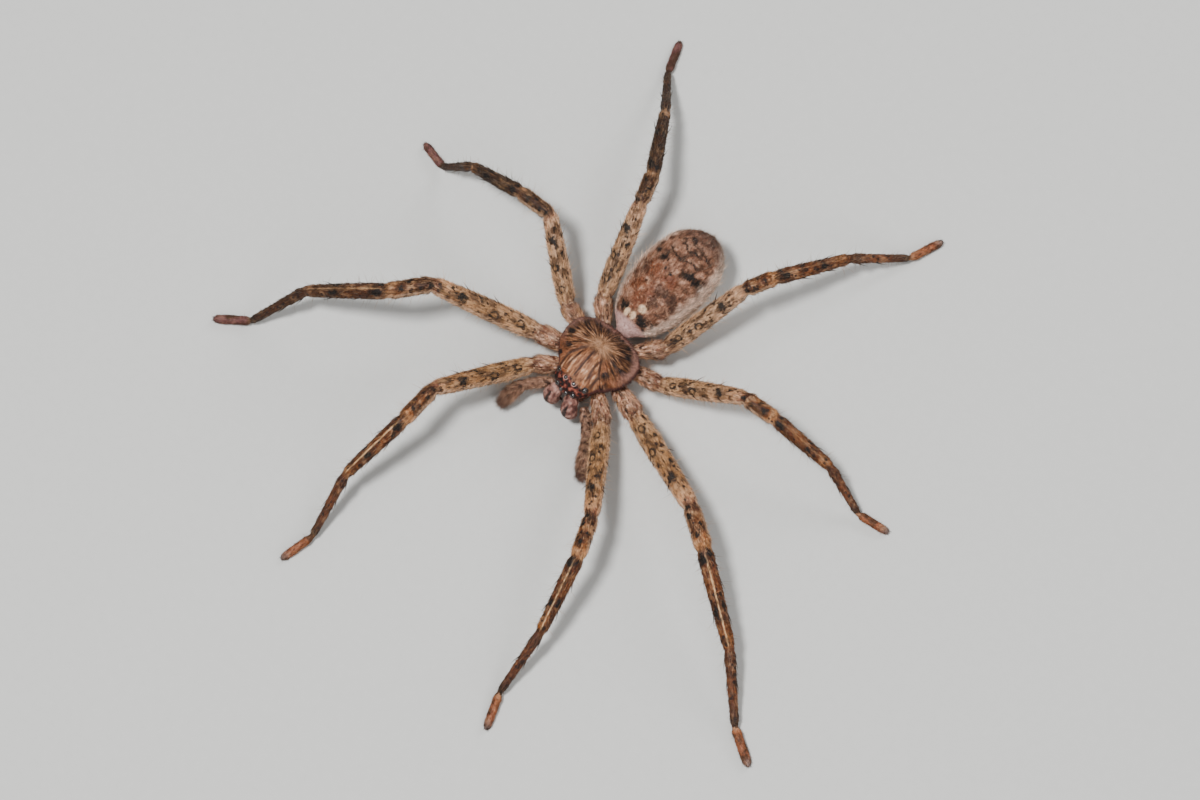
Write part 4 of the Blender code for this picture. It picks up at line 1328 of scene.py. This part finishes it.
def build_core():
    """Sternum, labium, maxillae and the soft flanks that close the body under the carapace."""
    depth = coat_depth()
    low, high = CORE_Y

    def sternum(ring, turn):
        share = -math.cos(math.pi * ring / CORE_RINGS)
        y = low + (high - low) * (share + 1) / 2
        sections = (CORE_HALF_WIDTH, ((low, CORE_TOP),), ((low, CORE_LEVEL),), ((low, CORE_BOTTOM),))
        return section_point(y, share, turn, 8, *sections, depth)

    def flank(ring, turn):
        share = ring / CORE_RINGS
        swing = math.pi * share
        reach = (shell_edge(turn) - PLEURA_INSET) * math.sin(swing)
        top, bottom = PLEURA_HEIGHTS
        z = (top + bottom) / 2 + (top - bottom) / 2 * math.cos(swing)
        return Vector((*from_fovea(reach + 0.05 * math.sin(share * 60), turn), z))

    (x, y, z), radii = MAXILLA
    forms = [wrapped(CORE_RINGS, CORE_RINGS, shape) for shape in (sternum, flank)]
    forms += [lobe((sign * x, y, z), radii) for sign in SIDES.values()] + [lobe(*LABIUM)]
    skin = add_piece("sternum_skin", forms, skin_material("belly"), ("core",))
    coat = [tufts(skin, "core", 501, lambda u, v, at: np.where(at[:, 2] < 4.5, 1.0, 0.0))]
    add_coat("sternum_coat", coat, coat_material("belly"))


def mirrored(path, sign):
    """A path given for the left side, set on the side with this sign."""
    return [(sign * x, y, z) for x, y, z in path]


def build_mouthparts():
    """Chelicerae with folded fangs, and the two palps."""
    depth = coat_depth()
    chitin = horn_material("red-brown chitin of fangs", linear("#3A150C"), 0.2)
    for number, (side, sign) in enumerate(SIDES.items()):
        line, radii = resampled(mirrored(CHELICERA[::-1], sign), CHELICERA_RADII[::-1], 40, depth)

        def place(ring, turn):
            out = Vector((math.sin(turn), -math.cos(turn), 0))
            return Vector(line[ring]) + out * radii[ring]

        form = wrapped(len(line) - 1, 32, place)
        neck = resampled(mirrored(CHELICERA_NECK, sign), CHELICERA_NECK_RADII, 24, 0)
        forms = [form, tube_along(*neck, 28, along=lambda ring: 0.8 + 0.008 * ring)]
        name = f"chelicera_{side}"
        skin = add_piece(name + "_skin", forms, skin_material("mouth"), (name,))
        coat = [tufts(skin, "chelicera", 601 + number, everywhere, lie=(0, -0.7, -0.7))]
        add_coat(name + "_coat", coat, coat_material("mouth"))
        fang = tube_along(*resampled(mirrored(FANG, sign), FANG_RADII, 24, 0.02), 16)
        add_piece(f"fang_{side}", [fang], chitin, ())
        line, radii = resampled(mirrored(PALPS[side], sign), PALP_RADII, 60, depth * 0.8)
        radii = radii * (1 - 0.12 * np.exp(-(((np.arange(61) % 20) - 10) / 2.5) ** 2))
        form = tube_along(line, radii, 24, sign)
        nodes = (f"palp_base_{side}", f"palp_tip_{side}")
        skin = add_piece(f"palp_{side}_skin", [form], skin_material("palp"), nodes)

        def tipped(u, v, at):
            return 0.4 + u

        def bushy(u, v, at):
            return 0.7 + 1.1 * np.clip((u - 0.5) * 3, 0, 1)

        coat = [tufts(skin, "palp", 611 + number, tipped, bushy)]
        add_coat(f"palp_{side}_coat", coat, coat_material("palp"))
        bristles = [tufts(skin, "palp bristle", 621 + number, tipped, template=BRISTLE)]
        add_coat(f"palp_{side}_bristles", bristles, coat_material("palp"))


def lens_material():
    """Clear hard lens over black: gloss from a smooth coat, and nearly no colour of its own."""

    def paint(tree):
        place = add_node(tree, "Attribute", attribute_name="place", out=1)
        cloud = add_node(tree, "TexNoise", {"Vector": place, "Scale": 4.0})
        colour = add_node(tree, "ValToRGB", {0: cloud}, stops=((0.3, "#050303"), (0.7, "#1C0E0A")))
        return {"Base Color": colour}

    return new_material("black lens", paint, Roughness=0.06, Specular_IOR_Level=0.7, Coat_Weight=1.0)


def build_eyes():
    """Eight glossy lenses, each in a thin ring: pale round the rear middle pair, dark round the rest."""
    lens = lens_material()
    rims = {
        "rear_middle": horn_material("pale rim of an eye", linear("#B8897C"), 0.45),
        "dark": horn_material("maroon rim of an eye", linear("#2C100C"), 0.35),
    }
    for name, (middle, size) in eye_places().items():
        ball = bmesh.new()
        bmesh.ops.create_uvsphere(ball, u_segments=32, v_segments=20, radius=size)
        bmesh.ops.translate(ball, verts=ball.verts, vec=middle)
        add_piece(f"eye_{name}_lens", [ball], lens, (f"eye_{name}",))
        ring = bmesh.new()
        bmesh.ops.create_circle(ring, segments=10, radius=size * 0.16)
        bmesh.ops.rotate(ring, verts=ring.verts, matrix=Matrix.Rotation(math.radians(90), 3, "X"))
        bmesh.ops.translate(ring, verts=ring.verts, vec=(size * 1.02, 0, size * 0.28))
        turns = {"cent": (0, 0, 0), "axis": (0, 0, 1), "angle": math.tau, "steps": 32, "use_merge": True}
        bmesh.ops.spin(ring, geom=ring.verts[:] + ring.edges[:], **turns)
        bmesh.ops.remove_doubles(ring, verts=ring.verts, dist=WELD)
        bmesh.ops.recalc_face_normals(ring, faces=ring.faces)
        faced = eye_direction(middle).to_track_quat("Z", "Y").to_matrix()
        bmesh.ops.rotate(ring, verts=ring.verts, matrix=faced)
        bmesh.ops.translate(ring, verts=ring.verts, vec=middle)
        rim = rims["rear_middle" if name.startswith("rear_middle") else "dark"]
        add_piece(f"eye_{name}_rim", [ring], rim, ())


def eye_direction(middle):
    """The way an eye looks: straight off the shell's surface there."""
    step = 0.15
    x, y = middle.x, max(middle.y, CARAPACE_Y[0] + 0.35)
    slope_x = (shell_height(x + step, y) - shell_height(x - step, y)) / (2 * step)
    slope_y = (shell_height(x, y + step) - shell_height(x, y - step)) / (2 * step)
    return Vector((-slope_x, -slope_y, 1)).normalized()


def paper_material(colour):
    """Pale matt paper: dull, with a faint grain that keeps the floor from looking like fog."""

    def paint(tree):
        place = add_node(tree, "TexCoord", out=3)
        grain = add_node(tree, "TexNoise", {"Vector": place, "Scale": 900.0, "Detail": 2.0})
        value = add_node(tree, "MapRange", {0: grain, 3: 0.97, 4: 1.03})
        return {"Base Color": add_node(tree, "HueSaturation", {"Color": colour, "Value": value})}

    return new_material("pale matt paper", paint, Roughness=0.9)


def add_object(name, data):
    """An object of the stage, in the scene."""
    item = bpy.data.objects.new(name, data)
    bpy.context.scene.collection.objects.link(item)
    return item


def build_stage():
    """Plain pale floor, soft studio light and a camera at the photograph's viewing angle."""
    settings = bpy.context.scene.spider
    form = bmesh.new()
    bmesh.ops.create_grid(form, x_segments=1, y_segments=1, size=settings.floor_size / 2)
    mesh = bpy.data.meshes.new("floor")
    form.to_mesh(mesh)
    form.free()
    mesh.materials.append(paper_material(settings.floor_colour))
    add_object("floor", mesh)
    world = bpy.data.worlds.new("studio")
    world.use_nodes = True
    fill(world.node_tree, world.node_tree.nodes["Background"], {"Color": "#FFFFFF", "Strength": SKY})
    bpy.context.scene.world = world
    for name, place, size, share in LIGHTS:
        lamp = bpy.data.lights.new(name, "AREA")
        lamp.shape = "DISK"
        lamp.size = size
        lamp.energy = settings.light * share
        light = add_object(name, lamp)
        light.location = place
        light.rotation_euler = (-Vector(place)).to_track_quat("-Z", "Y").to_euler()
    add_camera()


def add_camera():
    """The camera of the photograph, turned with the spider set on the floor."""
    lean = [math.sin(math.radians(angle)) for angle in CAMERA_LEAN]
    back = Vector((lean[0], lean[1], math.sqrt(1 - lean[0] ** 2 - lean[1] ** 2)))
    turn = math.radians(CAMERA_TURN)
    right = Vector((-math.sin(turn), math.cos(turn), 0)).cross(back).normalized()
    up = back.cross(right)
    stand = CAMERA_PIVOT + back * CAMERA_DISTANCE
    back = (stand - CAMERA_AIM).normalized()
    right = up.cross(back).normalized()
    up = back.cross(right)
    camera = bpy.data.cameras.new("camera")
    camera.sensor_fit = "HORIZONTAL"
    camera.lens = CAMERA_FOCAL / IMAGE_WIDTH * camera.sensor_width
    camera.clip_start = 0.01
    viewer = add_object("camera", camera)
    turned = Matrix((right, up, back)).transposed().to_4x4()
    viewer.matrix_world = Matrix.Translation(TO_FRAME @ stand) @ turned
    bpy.context.scene.camera = viewer


class SPIDER_OT_stage(bpy.types.Operator):
    """Adds the floor, the lights and the camera"""

    bl_idname = "spider.stage"
    bl_label = "Stage"

    def execute(self, context):
        build_stage()
        return {"FINISHED"}


class SPIDER_OT_carapace(bpy.types.Operator):
    """Makes the carapace and its hair"""

    bl_idname = "spider.carapace"
    bl_label = "Carapace"

    def execute(self, context):
        build_carapace()
        return {"FINISHED"}


class SPIDER_OT_eyes(bpy.types.Operator):
    """Makes the eight eyes"""

    bl_idname = "spider.eyes"
    bl_label = "Eyes"

    def execute(self, context):
        build_eyes()
        return {"FINISHED"}


class SPIDER_OT_abdomen(bpy.types.Operator):
    """Makes the abdomen, the spinnerets and their hair"""

    bl_idname = "spider.abdomen"
    bl_label = "Abdomen"

    def execute(self, context):
        build_abdomen()
        return {"FINISHED"}


class SPIDER_OT_underside(bpy.types.Operator):
    """Makes the sternum, the soft flanks, the labium and the maxillae"""

    bl_idname = "spider.underside"
    bl_label = "Underside"

    def execute(self, context):
        build_core()
        return {"FINISHED"}


class SPIDER_OT_mouthparts(bpy.types.Operator):
    """Makes the chelicerae, the fangs and the palps"""

    bl_idname = "spider.mouthparts"
    bl_label = "Mouthparts"

    def execute(self, context):
        build_mouthparts()
        return {"FINISHED"}


class SPIDER_OT_legs(bpy.types.Operator):
    """Makes the eight legs with their hair, spines and claws"""

    bl_idname = "spider.legs"
    bl_label = "Legs"

    def execute(self, context):
        for side in SIDES:
            for pair in range(len(HIPS)):
                build_leg(side, pair)
        return {"FINISHED"}


OPERATORS = (
    SPIDER_OT_carapace,
    SPIDER_OT_eyes,
    SPIDER_OT_abdomen,
    SPIDER_OT_underside,
    SPIDER_OT_mouthparts,
    SPIDER_OT_legs,
    SPIDER_OT_stage,
)


class SPIDER_PT_panel(bpy.types.Panel):
    """Sizes, colours and one button for each part of the spider"""

    bl_idname = "SPIDER_PT_panel"
    bl_label = "Huntsman Spider"
    bl_space_type = "VIEW_3D"
    bl_region_type = "UI"
    bl_category = "Spider"

    def draw(self, context):
        for name in SpiderSettings.__annotations__:
            self.layout.prop(context.scene.spider, name)
        for operator in OPERATORS:
            self.layout.operator(operator.bl_idname)


CLASSES = (SpiderSettings, *OPERATORS, SPIDER_PT_panel)


def register():
    for item in CLASSES:
        bpy.utils.register_class(item)
    bpy.types.Scene.spider = PointerProperty(type=SpiderSettings)


def unregister():
    del bpy.types.Scene.spider
    for item in reversed(CLASSES):
        bpy.utils.unregister_class(item)


def main():
    register()
    for operator in OPERATORS:
        group, name = operator.bl_idname.split(".")
        getattr(getattr(bpy.ops, group), name)()


if __name__ == "__main__":
    main()
